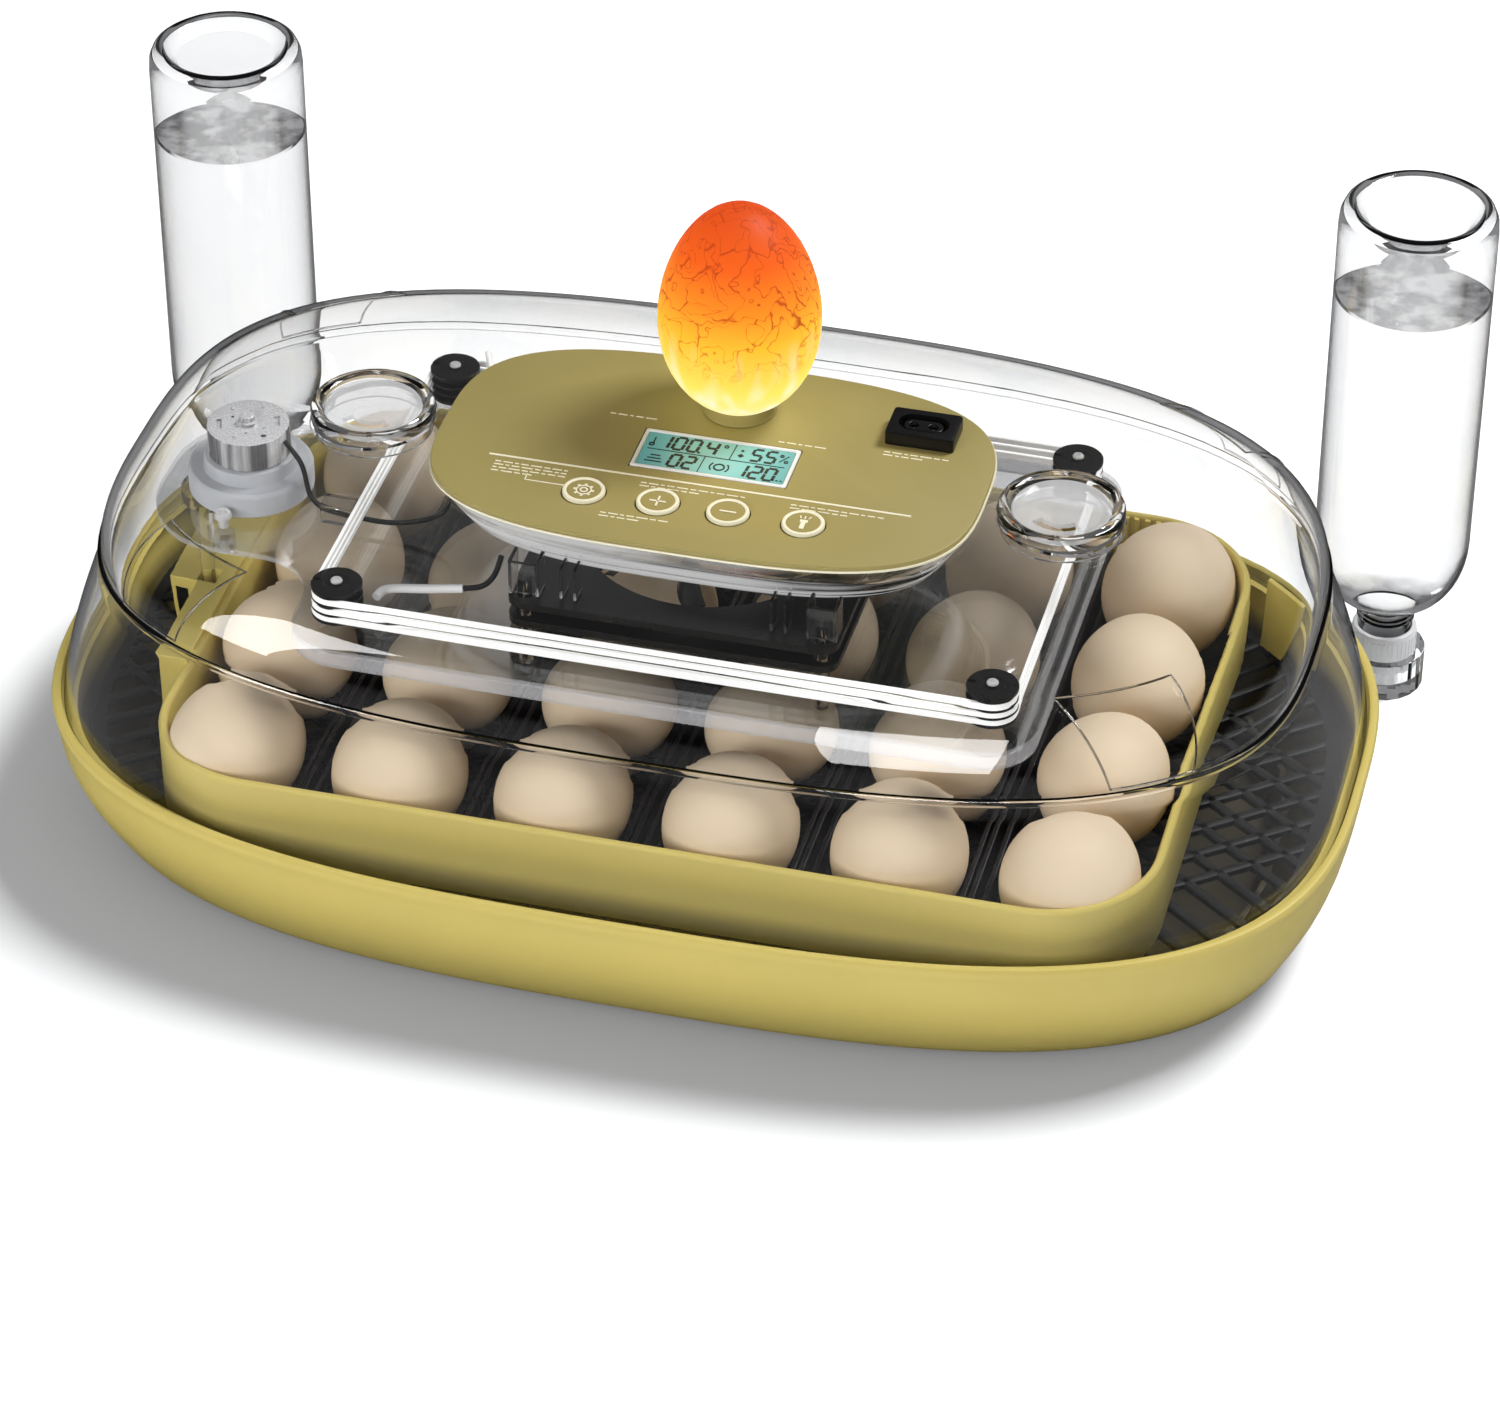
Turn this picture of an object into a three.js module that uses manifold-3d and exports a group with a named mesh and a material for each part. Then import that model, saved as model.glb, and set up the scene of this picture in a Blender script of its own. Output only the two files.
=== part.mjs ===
// Table-top egg incubator: an oval base tub, a clear domed lid that carries the heater, the fan,
// the control unit and the turning motor, a sliding egg frame and two inverted water bottles.
// Millimetres, +Z up, +X to the right end, +Y to the back.
// The origin is the centre of the underside of the base.
import * as THREE from 'three';
import { mergeVertices } from 'three/addons/utils/BufferGeometryUtils.js';
import Module from 'manifold-3d';

const wasm = await Module();
wasm.setup();

// ---------------------------------------------------------------- driving dimensions
const OVAL = 2.95;                 // exponent of the base and lid outline, 2 would be an ellipse
const RIM = { x: 216, y: 132.4, z: 50.5 };
const UNDERSIDE = { x: 200.4, y: 113 };
const WALL = 3;
const LEDGE_Z = 46;                // the lid stands on this ledge inside the rim
const MAT_TOP = 33.5;

const LID_WALL = 2.4;
const CREASE = { x: 197, y: 115.6, z: 103.7 };
const SHOULDER = 24;               // radius of the rounded shoulder above the crease
const CROWN_Z = 137;

const PANEL = { x: 89, y: 53, z: 139.3, oval: 3.18, thick: 2.1 };
const BOWL_DEPTH = 21;
const BUTTON_XS = [-34, -9.8, 13, 37.4];
const BUTTON_Y = -30.5;
const BUTTON_RADIUS = 6.9;
const LCD = { x: 1.3, y: -1.6, halfX: 25.6, halfY: 10.7 };
const INLET = { x: 62.6, y: 27, width: 22.6, depth: 15.2, proud: 5 };
const CANDLER = { x: 1.5, y: 28, radius: 12, height: 5 };

const GUARD = {
  start: [168.5, 86.5], end: [185.5, 73.5], foot: 14, low: MAT_TOP + 0.3, top: 60, thick: 1.8,
};
const FRAME = { x: 164, y: 108.5, corner: 38, low: 34, top: 64, wall: 3 };
const YOKE = { left: -184, right: -174, front: -11.5, back: 40, low: 40, top: 66 };
const YOKE_WINDOW = { left: -182.5, right: -178, low: 43, top: 61.5 };
const YOKE_LEDGE = { left: -175.5, back: 50, low: 45, slotFloor: 50 };
const COLUMNS = 6;
const COLUMN_PITCH = 54.6;
const ROW_PITCH = 52.5;

const PLATE = { x: 121, y: 80, corner: 17, top: 99.6, thick: 2 };
const SPOOL = { x: 106.2, y: 63.4, radius: 8.4, low: 102.6, top: 113.4 };
const FAN = { half: 54, corner: 6, lowTop: 102.4, highTop: 109.4, thick: 2.6, opening: 44 };
const STANDOFF_OFFSET = 48.5;
const MOTOR = { x: -156.7, y: 0, canRadius: 13.6, canTop: 123.4 };
const CRANK = {
  x: -171, y: 0, arm: 7.5, pinRadius: 2.5, pinFoot: 52, discRadius: 10, low: 92.5, top: 96.5,
};
const VENT = { x: 113.5, radius: 20.4, low: 130, top: 140.4 };
const BOTTLE = { x: 203.6, y: 123.3, radius: 26.3, shoulder: 60, top: 190, neck: 8.9 };
const CAP = { radius: 10.9, low: 9.5, top: 24 };

// ---------------------------------------------------------------- finishes
function finish(color, roughness, metalness = 0) {
  return new THREE.MeshStandardMaterial({ color, roughness, metalness });
}

function clearFinish(color = 0xf2f6f6) {
  return new THREE.MeshStandardMaterial({ color, roughness: 0.05, transparent: true, opacity: 0.25 });
}

const OLIVE = 0xb5a455;
const PANEL_OLIVE = 0xa8974f;
const BLACK = 0x141414;
const WHITE = 0xf4f4f0;

// ---------------------------------------------------------------- solids from geometry classes
function signedVolume(geometry) {
  const p = geometry.attributes.position;
  const index = geometry.index;
  const a = new THREE.Vector3();
  const b = new THREE.Vector3();
  const c = new THREE.Vector3();
  let sum = 0;
  for (let i = 0; i < index.count; i += 3) {
    a.fromBufferAttribute(p, index.getX(i));
    b.fromBufferAttribute(p, index.getX(i + 1));
    c.fromBufferAttribute(p, index.getX(i + 2));
    sum += a.dot(b.cross(c)) / 6;
  }
  return sum;
}

// Merge the shared vertices, drop the collapsed triangles and turn the faces outwards.
function closed(geometry) {
  let g = geometry.clone();
  g.deleteAttribute('normal');
  g.deleteAttribute('uv');
  g = mergeVertices(g, 1e-4);
  const kept = [];
  for (let i = 0; i < g.index.count; i += 3) {
    const [a, b, c] = [0, 1, 2].map((k) => g.index.getX(i + k));
    if (a !== b && b !== c && a !== c) {
      kept.push(a, b, c);
    }
  }
  g.setIndex(kept);
  if (signedVolume(g) < 0) {
    for (let i = 0; i < kept.length; i += 3) {
      [kept[i], kept[i + 1]] = [kept[i + 1], kept[i]];
    }
    g.setIndex(kept);
  }
  return g;
}

function solid(geometry) {
  const g = closed(geometry);
  const mesh = new wasm.Mesh({
    numProp: 3,
    vertProperties: new Float32Array(g.attributes.position.array),
    triVerts: new Uint32Array(g.index.array),
  });
  return new wasm.Manifold(mesh);
}

function geometryOf(manifold) {
  const mesh = manifold.getMesh();
  const g = new THREE.BufferGeometry();
  g.setAttribute('position', new THREE.BufferAttribute(new Float32Array(mesh.vertProperties), 3));
  g.setIndex(new THREE.BufferAttribute(new Uint32Array(mesh.triVerts), 1));
  g.computeVertexNormals();
  return g;
}

function join(...geometries) {
  const sum = geometries.map(solid).reduce((total, next) => total.add(next));
  return geometryOf(sum);
}

function cut(geometry, ...tools) {
  const rest = tools.map(solid).reduce((total, tool) => total.subtract(tool), solid(geometry));
  return geometryOf(rest);
}

// ---------------------------------------------------------------- outlines and basic shapes
// Point number i of count on an oval of half sizes x and y, evenly spread round the corners.
function ovalPoint(x, y, exponent, i, count) {
  const s = (2 * Math.PI * i) / count;
  const cos = Math.cos(s);
  const sin = Math.sin(s);
  const k = (Math.abs(cos) ** exponent + Math.abs(sin) ** exponent) ** (1 / exponent);
  return [(x * cos) / k, (y * sin) / k];
}

function ovalShape(x, y, exponent) {
  const count = 48;
  const points = [];
  for (let i = 0; i < count; i += 1) {
    points.push(new THREE.Vector2(...ovalPoint(x, y, exponent, i, count)));
  }
  return new THREE.Shape(points);
}

// A lathe whose rings are stretched from circles into ovals. Each ring is [half x, half y, z],
// and a fourth number gives a ring an exponent of its own.
function ovalLathe(rings, exponent, count = 40) {
  const profile = rings.map(([, y, z]) => new THREE.Vector2(y, z));
  const g = new THREE.LatheGeometry(profile, count);
  const p = g.attributes.position;
  for (let v = 0; v < p.count; v += 1) {
    const [x, y, z, own = exponent] = rings[v % rings.length];
    const [px, py] = ovalPoint(x, y, own, Math.floor(v / rings.length) % count, count);
    p.setXYZ(v, px, py, z);
  }
  return g;
}

function latheZ(profile, count = 24) {
  const points = profile.map(([radius, z]) => new THREE.Vector2(radius, z));
  return new THREE.LatheGeometry(points, count).rotateX(Math.PI / 2);
}

function roundedShape(halfX, halfY, radius) {
  const shape = new THREE.Shape();
  shape.moveTo(-halfX + radius, -halfY);
  shape.lineTo(halfX - radius, -halfY);
  shape.absarc(halfX - radius, -halfY + radius, radius, -Math.PI / 2, 0);
  shape.lineTo(halfX, halfY - radius);
  shape.absarc(halfX - radius, halfY - radius, radius, 0, Math.PI / 2);
  shape.lineTo(-halfX + radius, halfY);
  shape.absarc(-halfX + radius, halfY - radius, radius, Math.PI / 2, Math.PI);
  shape.lineTo(-halfX, -halfY + radius);
  shape.absarc(-halfX + radius, -halfY + radius, radius, Math.PI, 1.5 * Math.PI);
  shape.closePath();
  return shape;
}

function slab(shape, low, top, curveSegments = 5) {
  const settings = { depth: top - low, bevelEnabled: false, curveSegments };
  return new THREE.ExtrudeGeometry(shape, settings).translate(0, 0, low);
}

function roundedSlab(halfX, halfY, radius, low, top, curveSegments = 4) {
  return slab(roundedShape(halfX, halfY, radius), low, top, curveSegments);
}

function box(x0, x1, y0, y1, z0, z1) {
  const g = new THREE.BoxGeometry(x1 - x0, y1 - y0, z1 - z0);
  return g.translate((x0 + x1) / 2, (y0 + y1) / 2, (z0 + z1) / 2);
}

function post(radius, low, top, x, y, count) {
  const g = new THREE.CylinderGeometry(radius, radius, top - low, count);
  return g.rotateX(Math.PI / 2).translate(x, y, (low + top) / 2);
}

function tube(points, radius, steps) {
  const path = new THREE.CatmullRomCurve3(points.map((point) => new THREE.Vector3(...point)));
  const circle = new THREE.Shape();
  circle.absarc(0, 0, radius, 0, 2 * Math.PI);
  const settings = { steps, extrudePath: path, curveSegments: 3, bevelEnabled: false };
  return new THREE.ExtrudeGeometry(circle, settings);
}

// ---------------------------------------------------------------- assembly
const incubator = new THREE.Group();

function add(name, geometry, material, x = 0, y = 0, z = 0) {
  const mesh = new THREE.Mesh(closed(geometry), material);
  mesh.name = name;
  mesh.position.set(x, y, z);
  incubator.add(mesh);
  return mesh;
}

// ---------------------------------------------------------------- base
// Half sizes of the tub's outside at height z: the wall bulges from the underside to the rim.
function tubOutside(z) {
  const bulge = Math.sin((Math.PI / 2) * Math.min(1, z / LEDGE_Z));
  const side = (low, high) => low + (high - low) * bulge;
  return [side(UNDERSIDE.x, RIM.x - 0.8), side(UNDERSIDE.y, RIM.y - 0.8)];
}

function tubRing(z, inset, heightOfWall = z) {
  const [x, y] = tubOutside(heightOfWall);
  return [x - inset, y - inset, z];
}

function baseTub() {
  const outside = [0, 8, 20, 33, LEDGE_Z].map((z) => tubRing(z, z === 0 ? 3 : 0));
  const inside = [LEDGE_Z, 34, 20, 8].map((z) => tubRing(z, z === LEDGE_Z ? 7 : WALL));
  const rings = [
    [0, 0, 0],
    ...outside,
    [RIM.x, RIM.y, LEDGE_Z + 1.2],
    [RIM.x, RIM.y, RIM.z - 0.6],
    [RIM.x - 0.6, RIM.y - 0.6, RIM.z],
    [RIM.x - WALL, RIM.y - WALL, RIM.z],
    [RIM.x - WALL, RIM.y - WALL, LEDGE_Z],
    ...inside,
    tubRing(WALL, 8, 0),
    [0, 0, WALL],
  ];
  return ovalLathe(rings, OVAL);
}

// An open water tray with two dividing walls and the pillars that carry the mat.
function waterTray() {
  const half = { x: 186, y: 98, low: WALL + 0.4, top: 18 };
  const tray = ovalLathe(
    [
      [0, 0, half.low],
      [half.x, half.y, half.low],
      [half.x + 4, half.y + 4, half.top],
      [half.x + 2, half.y + 2, half.top],
      [half.x - 2, half.y - 2, half.low + 2],
      [0, 0, half.low + 2],
    ],
    OVAL,
    32,
  );
  const pieces = [tray];
  for (const y of [-34, 34]) {
    pieces.push(box(-150, 150, y - 1, y + 1, half.low + 1, half.top));
  }
  for (const x of [-140, 140]) {
    for (const y of [-60, 60]) {
      pieces.push(post(5, half.low + 1, MAT_TOP - 3.3, x, y, 8));
    }
  }
  return join(...pieces);
}

// Clear socket outside the rear corner that holds a bottle cap and leads its water into the tray.
function waterPort(side) {
  const x = side * BOTTLE.x;
  const cup = latheZ(
    [[0, 1], [14.4, 1], [14.4, 15], [11.4, 15], [11.4, 6], [0, 6]],
    20,
  ).translate(x, BOTTLE.y, 0);
  const spout = box(-30, 0, -5, 5, 1, 5);
  spout.rotateZ(side > 0 ? Math.PI / 3 : Math.PI - Math.PI / 3);
  spout.translate(x, BOTTLE.y, 0);
  const tub = ovalLathe(
    [
      [0, 0, -1],
      [UNDERSIDE.x + 6.5, UNDERSIDE.y + 7, -1],
      [UNDERSIDE.x + 6.5, UNDERSIDE.y + 7, 20],
      [0, 0, 20],
    ],
    OVAL,
  );
  return geometryOf(solid(join(cup, spout)).subtract(solid(tub)));
}

// An upright guard with a narrow foot. It parts the water inlet in a rear corner from the mat.
function waterGuard(side) {
  const { start, end, foot, low, top, thick } = GUARD;
  const along = new THREE.Vector2(side * (end[0] - start[0]), end[1] - start[1]);
  const outline = new THREE.Shape();
  outline.moveTo(0, low);
  outline.lineTo(foot, low);
  outline.lineTo(along.length(), top - 9);
  outline.lineTo(along.length(), top);
  outline.lineTo(0, top);
  outline.closePath();
  const plate = slab(outline, -thick / 2, thick / 2).rotateX(Math.PI / 2);
  return plate.rotateZ(along.angle()).translate(side * start[0], start[1], 0);
}

function addBase() {
  const olive = finish(OLIVE, 0.38);
  add('base_tub', baseTub(), olive);
  add('water_tray', waterTray(), finish(OLIVE, 0.45));
  add('floor_mat', slab(ovalShape(205, 121, OVAL), MAT_TOP - 3, MAT_TOP), finish(BLACK, 0.6));
  add('water_port_left', waterPort(-1), clearFinish());
  add('water_port_right', waterPort(1), clearFinish());
  add('water_guard_left', waterGuard(-1), olive);
  add('water_guard_right', waterGuard(1), olive);
}

// ---------------------------------------------------------------- sliding egg frame
// A box with a front window, and a ledge on the left wall. The crank pin drops into the ledge's slot.
function driveYoke() {
  const { left, right, front, back, low, top } = YOKE;
  const hood = box(left, right, front, back, low, top);
  const window = box(
    YOKE_WINDOW.left, YOKE_WINDOW.right, front - 1, back - 4, YOKE_WINDOW.low, YOKE_WINDOW.top,
  );
  const wallSide = 1 - FRAME.x;
  const ledge = box(YOKE_LEDGE.left, wallSide, -YOKE_LEDGE.back, YOKE_LEDGE.back, YOKE_LEDGE.low, top);
  const slotHalf = CRANK.pinRadius + 0.8;
  const slotFront = CRANK.y - CRANK.arm - slotHalf;
  const slotBack = slotFront + 8.5;
  const slot = box(
    CRANK.x - slotHalf, CRANK.x + slotHalf, slotFront, slotBack, YOKE_LEDGE.slotFloor, top + 1,
  );
  return cut(join(hood, ledge), window, slot);
}

function eggFrame() {
  const { x, y, corner, low, top, wall } = FRAME;
  const outer = roundedSlab(x, y, corner, low, top);
  const inner = roundedSlab(x - wall, y - wall, corner - wall, low - 1, top + 1);
  const pieces = [geometryOf(solid(outer).subtract(solid(inner))), driveYoke()];
  const ribs = { first: x - 56, count: 6, pitch: 3.6, width: 1.6, depth: 1.2 };
  for (let i = 0; i < ribs.count; i += 1) {
    const ribX = ribs.first + i * ribs.pitch;
    const ribY = y - wall - ribs.depth;
    pieces.push(box(ribX, ribX + ribs.width, ribY, y - wall + 0.5, low + 6, top - 1));
  }
  return join(...pieces);
}

// Twin rails between the egg columns, tied together by low cross bars.
function dividerGrid() {
  const rail = { half: 102.5, low: MAT_TOP + 0.6, top: 51, thick: 1.6, gap: 4.2 };
  const pieces = [];
  const side = rail.thick / 2;
  const railAt = (x) => box(x - side, x + side, -rail.half, rail.half, rail.low, rail.top);
  for (let i = 1; i < COLUMNS; i += 1) {
    const x = (i - COLUMNS / 2) * COLUMN_PITCH;
    pieces.push(railAt(x - rail.gap), railAt(x + rail.gap));
  }
  const reach = FRAME.x - 5;
  for (const row of [-1, 1]) {
    const y = row * ROW_PITCH;
    pieces.push(box(-reach, reach, y - 1.5, y + 1.5, rail.low, rail.low + 3));
  }
  return join(...pieces);
}

function addTurner() {
  add('egg_frame', eggFrame(), finish(OLIVE, 0.4));
  add('divider_grid', dividerGrid(), finish(BLACK, 0.45));
}

// ---------------------------------------------------------------- water bottles
function bottle() {
  const { radius, shoulder, top, neck } = BOTTLE;
  const wall = 1.3;
  const profile = [[neck, CAP.low + 3.4]];
  profile.push([neck, 33]);
  for (let i = 0; i <= 4; i += 1) {
    const angle = (Math.PI / 2) * (i / 4);
    profile.push([neck + 1 + (radius - neck - 1) * Math.sin(angle), shoulder - 24 * Math.cos(angle)]);
  }
  profile.push([radius, top - 4], [radius - 1.3, top - 1.2], [radius - 4, top]);
  profile.push([radius - 6.5, top - 1], [0, top - 4.5], [0, top - 6], [radius - 6, top - 3.2]);
  profile.push([radius - wall, top - 5]);
  for (let i = 4; i >= 0; i -= 1) {
    const angle = (Math.PI / 2) * (i / 4);
    const x = neck + 1 + (radius - neck - 1) * Math.sin(angle);
    profile.push([x - wall, shoulder + 1 - 24 * Math.cos(angle)]);
  }
  profile.push([neck - wall, 34], [neck - wall, CAP.low + 3.4], [neck, CAP.low + 3.4]);
  return latheZ(profile, 22);
}

function bottleCap() {
  const { radius, low, top } = CAP;
  const bore = BOTTLE.neck + 0.4;
  return latheZ(
    [
      [2, low], [radius - 0.6, low], [radius, low + 0.6], [radius, top - 0.4], [radius - 0.4, top],
      [bore, top], [bore, low + 3], [2, low + 3], [2, low],
    ],
    24,
  );
}

function addBottles() {
  for (const [side, x] of [['left', -BOTTLE.x], ['right', BOTTLE.x]]) {
    add(`bottle_${side}`, bottle(), clearFinish(), x, BOTTLE.y);
    add(`bottle_cap_${side}`, bottleCap(), finish(WHITE, 0.5), x, BOTTLE.y);
  }
}

// ---------------------------------------------------------------- clear lid
// Rings of the lid's outer surface from its foot, past the crease and shoulder, to the opening.
function lidRings(inset) {
  const foot = { x: RIM.x - WALL - 0.6, y: RIM.y - WALL - 0.6 };
  const rings = [];
  const steps = 3;
  for (let i = 0; i <= steps; i += 1) {
    const t = i / steps;
    const lean = t ** 1.4;
    const z = LEDGE_Z + 0.4 + t * (CREASE.z - LEDGE_Z - 0.4);
    const x = foot.x + (CREASE.x - foot.x) * lean;
    rings.push([x - inset, foot.y + (CREASE.y - foot.y) * lean - inset, z]);
  }
  const turns = 4;
  for (let i = 1; i <= turns; i += 1) {
    const angle = (Math.PI / 180) * 78 * (i / turns);
    const inward = SHOULDER * (1 - Math.cos(angle)) + inset * Math.cos(angle);
    const z = CREASE.z + (SHOULDER - inset) * Math.sin(angle);
    rings.push([CREASE.x - inward, CREASE.y - inward, z]);
  }
  const edge = { x: PANEL.x - 1.6, y: PANEL.y - 1.6 };
  const last = rings[rings.length - 1];
  const crown = 3;
  for (let i = 1; i <= crown; i += 1) {
    const t = i / crown;
    const rise = Math.sin((Math.PI / 2) * t);
    const z = last[2] + (CROWN_Z - inset - last[2]) * rise;
    const shape = OVAL + (PANEL.oval - OVAL) * t;
    rings.push([last[0] + (edge.x - last[0]) * t, last[1] + (edge.y - last[1]) * t, z, shape]);
  }
  return rings;
}

function domeCover() {
  const outer = lidRings(0);
  const inner = lidRings(LID_WALL);
  const shell = ovalLathe([...outer, ...inner.reverse(), outer[0]], OVAL);
  const sockets = [-1, 1].map((side) => post(VENT.radius + 0.4, 120, 150, side * VENT.x, 0, 28));
  return cut(shell, ...sockets);
}

function ventRing() {
  const { radius, low, top } = VENT;
  return latheZ(
    [
      [radius - 2.4, low], [radius - 0.8, low], [radius - 0.8, low + 4.5], [radius, low + 5.2],
      [radius, top - 1.2], [radius - 1.2, top], [radius - 3.4, top], [radius - 4, top - 1],
      [radius - 4, low + 4.6], [radius - 2.4, low + 4], [radius - 2.4, low],
    ],
    26,
  );
}

// A shallow white dial whose crescent opening is also its finger grip.
function ventDial() {
  const radius = VENT.radius - 4.5;
  const low = VENT.top - 4.4;
  const top = VENT.top - 1.6;
  const dish = latheZ(
    [
      [0, low], [radius, low], [radius, top], [radius - 1, top], [radius - 2.2, top - 1], [0, top - 1],
    ],
  );
  const slot = slab(crescentShape(6.5, 10.5), low - 1, top + 1);
  return cut(dish, slot);
}

function crescentShape(inner, outer) {
  const half = 0.75;
  const middle = -Math.PI / 2;
  const shape = new THREE.Shape();
  shape.absarc(0, 0, outer, middle - half, middle + half);
  shape.absarc(0, 0, inner, middle + half, middle - half, true);
  shape.closePath();
  return shape;
}

function addLid() {
  add('dome_cover', domeCover(), clearFinish());
  for (const [side, x] of [['left', -VENT.x], ['right', VENT.x]]) {
    add(`vent_ring_${side}`, ventRing(), clearFinish(), x);
    add(`vent_dial_${side}`, ventDial(), finish(WHITE, 0.35), x);
  }
}

// ---------------------------------------------------------------- control unit
function controlHousing() {
  const top = PANEL.z - PANEL.thick - 0.3;
  const mouth = { x: PANEL.x - 2.2, y: PANEL.y - 2.2 };
  const shape = (depth, inward, inset) => [
    mouth.x - inward - inset, mouth.y - inward - inset, top - depth,
  ];
  const wall = 1.8;
  const rings = [
    [0, 0, top - BOWL_DEPTH],
    shape(BOWL_DEPTH, 12, 0),
    shape(BOWL_DEPTH - 3, 8, 0),
    shape(BOWL_DEPTH - 9, 4, 0),
    shape(0, 0, 0),
    shape(0, 0, wall),
    shape(BOWL_DEPTH - 9, 4, wall),
    shape(BOWL_DEPTH - 3, 8, wall),
    shape(BOWL_DEPTH - wall, 12, wall - 0.5),
    [0, 0, top - BOWL_DEPTH + wall],
  ];
  return ovalLathe(rings, PANEL.oval);
}

function controlPanel() {
  const { z, thick } = PANEL;
  const plate = ovalLathe(
    [
      [0, 0, z - thick],
      [PANEL.x, PANEL.y, z - thick],
      [PANEL.x, PANEL.y, z - 0.5],
      [PANEL.x - 0.5, PANEL.y - 0.5, z],
      [0, 0, z],
    ],
    PANEL.oval,
  );
  const holes = BUTTON_XS.map((x) => post(BUTTON_RADIUS + 0.4, z - 5, z + 5, x, BUTTON_Y, 20));
  const glass = box(
    LCD.x - LCD.halfX - 0.4, LCD.x + LCD.halfX + 0.4,
    LCD.y - LCD.halfY - 0.4, LCD.y + LCD.halfY + 0.4,
    z - 5, z + 5,
  );
  const socket = box(
    INLET.x - INLET.width / 2 + 1.5, INLET.x + INLET.width / 2 - 1.5,
    INLET.y - INLET.depth / 2 + 1.5, INLET.y + INLET.depth / 2 - 1.5,
    z - 5, z + 5,
  );
  const lamp = post(6.6, z - 5, z + 5, CANDLER.x, CANDLER.y, 24);
  return cut(plate, ...holes, glass, socket, lamp);
}

function lcdBezel() {
  const low = PANEL.z - 1.2;
  const outer = box(-LCD.halfX, LCD.halfX, -LCD.halfY, LCD.halfY, low, PANEL.z + 0.3);
  const inner = box(
    -LCD.halfX + 1.2, LCD.halfX - 1.2, -LCD.halfY + 1.2, LCD.halfY - 1.2, low - 1, PANEL.z + 1,
  );
  return cut(outer, inner);
}

function buttonCap() {
  const top = PANEL.z + 1.4;
  const low = PANEL.z - 3;
  return latheZ(
    [
      [0, low], [BUTTON_RADIUS, low], [BUTTON_RADIUS, top - 0.5], [BUTTON_RADIUS - 0.5, top],
      [BUTTON_RADIUS - 1.2, top], [BUTTON_RADIUS - 1.6, top - 0.4], [0, top - 0.4],
    ],
    20,
  );
}

// Two-pin mains socket: a proud block with a figure-eight recess.
function powerInlet() {
  const { width, depth, proud } = INLET;
  const block = roundedSlab(width / 2, depth / 2, 1, PANEL.z + 0.3, PANEL.z + proud, 3);
  const plug = roundedSlab(width / 2 - 2, depth / 2 - 2, 1, PANEL.z - 9, PANEL.z + 1, 3);
  const lobes = [-3.2, 3.2].map((x) => post(3.4, PANEL.z - 4, PANEL.z + proud + 1, x, 0, 16));
  return cut(join(block, plug), ...lobes);
}

function candlerCup() {
  const { radius, height } = CANDLER;
  const low = PANEL.z + 0.3;
  const top = PANEL.z + height;
  return latheZ(
    [
      [7, low], [radius, low], [radius, top - 0.6], [radius - 0.6, top], [radius - 2, top],
      [radius - 3, top - 1.5], [7.6, low + 1.2], [7, low],
    ],
    24,
  );
}

function candlerLamp() {
  const top = PANEL.z + 1;
  return latheZ([[0, top - 8], [5, top - 8], [5, top - 2], [3.6, top - 0.5], [0, top]], 24);
}

const BOARD_TOP = PANEL.z - 11;

function addControlUnit() {
  add('control_housing', controlHousing(), clearFinish());
  add('control_panel', controlPanel(), finish(PANEL_OLIVE, 0.5));
  add('lcd_bezel', lcdBezel(), finish(WHITE, 0.4), LCD.x, LCD.y);
  const screen = box(
    -LCD.halfX + 1.5, LCD.halfX - 1.5, -LCD.halfY + 1.5, LCD.halfY - 1.5,
    PANEL.z - 3, PANEL.z - 0.1,
  );
  add('lcd_screen', screen, finish(0x6fc6c4, 0.2), LCD.x, LCD.y);
  ['set', 'plus', 'minus', 'lamp'].forEach((name, i) => {
    add(`button_${name}`, buttonCap(), finish(PANEL_OLIVE, 0.45), BUTTON_XS[i], BUTTON_Y);
  });
  add('power_inlet', powerInlet(), finish(BLACK, 0.35), INLET.x, INLET.y);
  for (const [side, x] of [['left', -3.2], ['right', 3.2]]) {
    const pin = post(1, PANEL.z - 3.7, PANEL.z + 2.5, 0, 0, 12);
    add(`inlet_pin_${side}`, pin, finish(0xc9c9c9, 0.25, 1), INLET.x + x, INLET.y);
  }
  add('candler_cup', candlerCup(), finish(PANEL_OLIVE, 0.45), CANDLER.x, CANDLER.y);
  add('candler_lamp', candlerLamp(), finish(0xfff3c8, 0.2), CANDLER.x, CANDLER.y);
  const board = roundedSlab(66, 34, 6, BOARD_TOP - 1.6, BOARD_TOP);
  add('circuit_board', board, finish(0x1d3b2a, 0.5));
}

// ---------------------------------------------------------------- heater and fan
const CORNERS = [
  ['front_left', -1, -1], ['front_right', 1, -1], ['rear_right', 1, 1], ['rear_left', -1, 1],
];

// The clear plate under the lid, with a lobe at the left end for the turning motor.
function bafflePlate() {
  const { x, y, corner, top, thick } = PLATE;
  const low = top - thick;
  const plate = roundedSlab(x, y, corner, low, top);
  const lobe = roundedSlab(44, 37, 30, low, top).translate(-142, 0, 0);
  const lip = cut(
    roundedSlab(x, y, corner, low - 5, low + 0.5),
    roundedSlab(x - 1.4, y - 1.4, corner - 1.4, low - 6, low + 1),
    box(-x - 5, -x + 40, -55, 55, low - 7, low + 2),
  );
  const holes = [
    post(FAN.opening - 4, low - 1, top + 1, 0, 0, 28),
    post(4.2, low - 1, top + 1, CRANK.x, CRANK.y, 16),
  ];
  for (const [, sx, sy] of CORNERS) {
    holes.push(post(2.7, low - 1, top + 1, sx * STANDOFF_OFFSET, sy * STANDOFF_OFFSET, 8));
  }
  return cut(join(plate, lobe, lip), ...holes);
}

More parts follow.
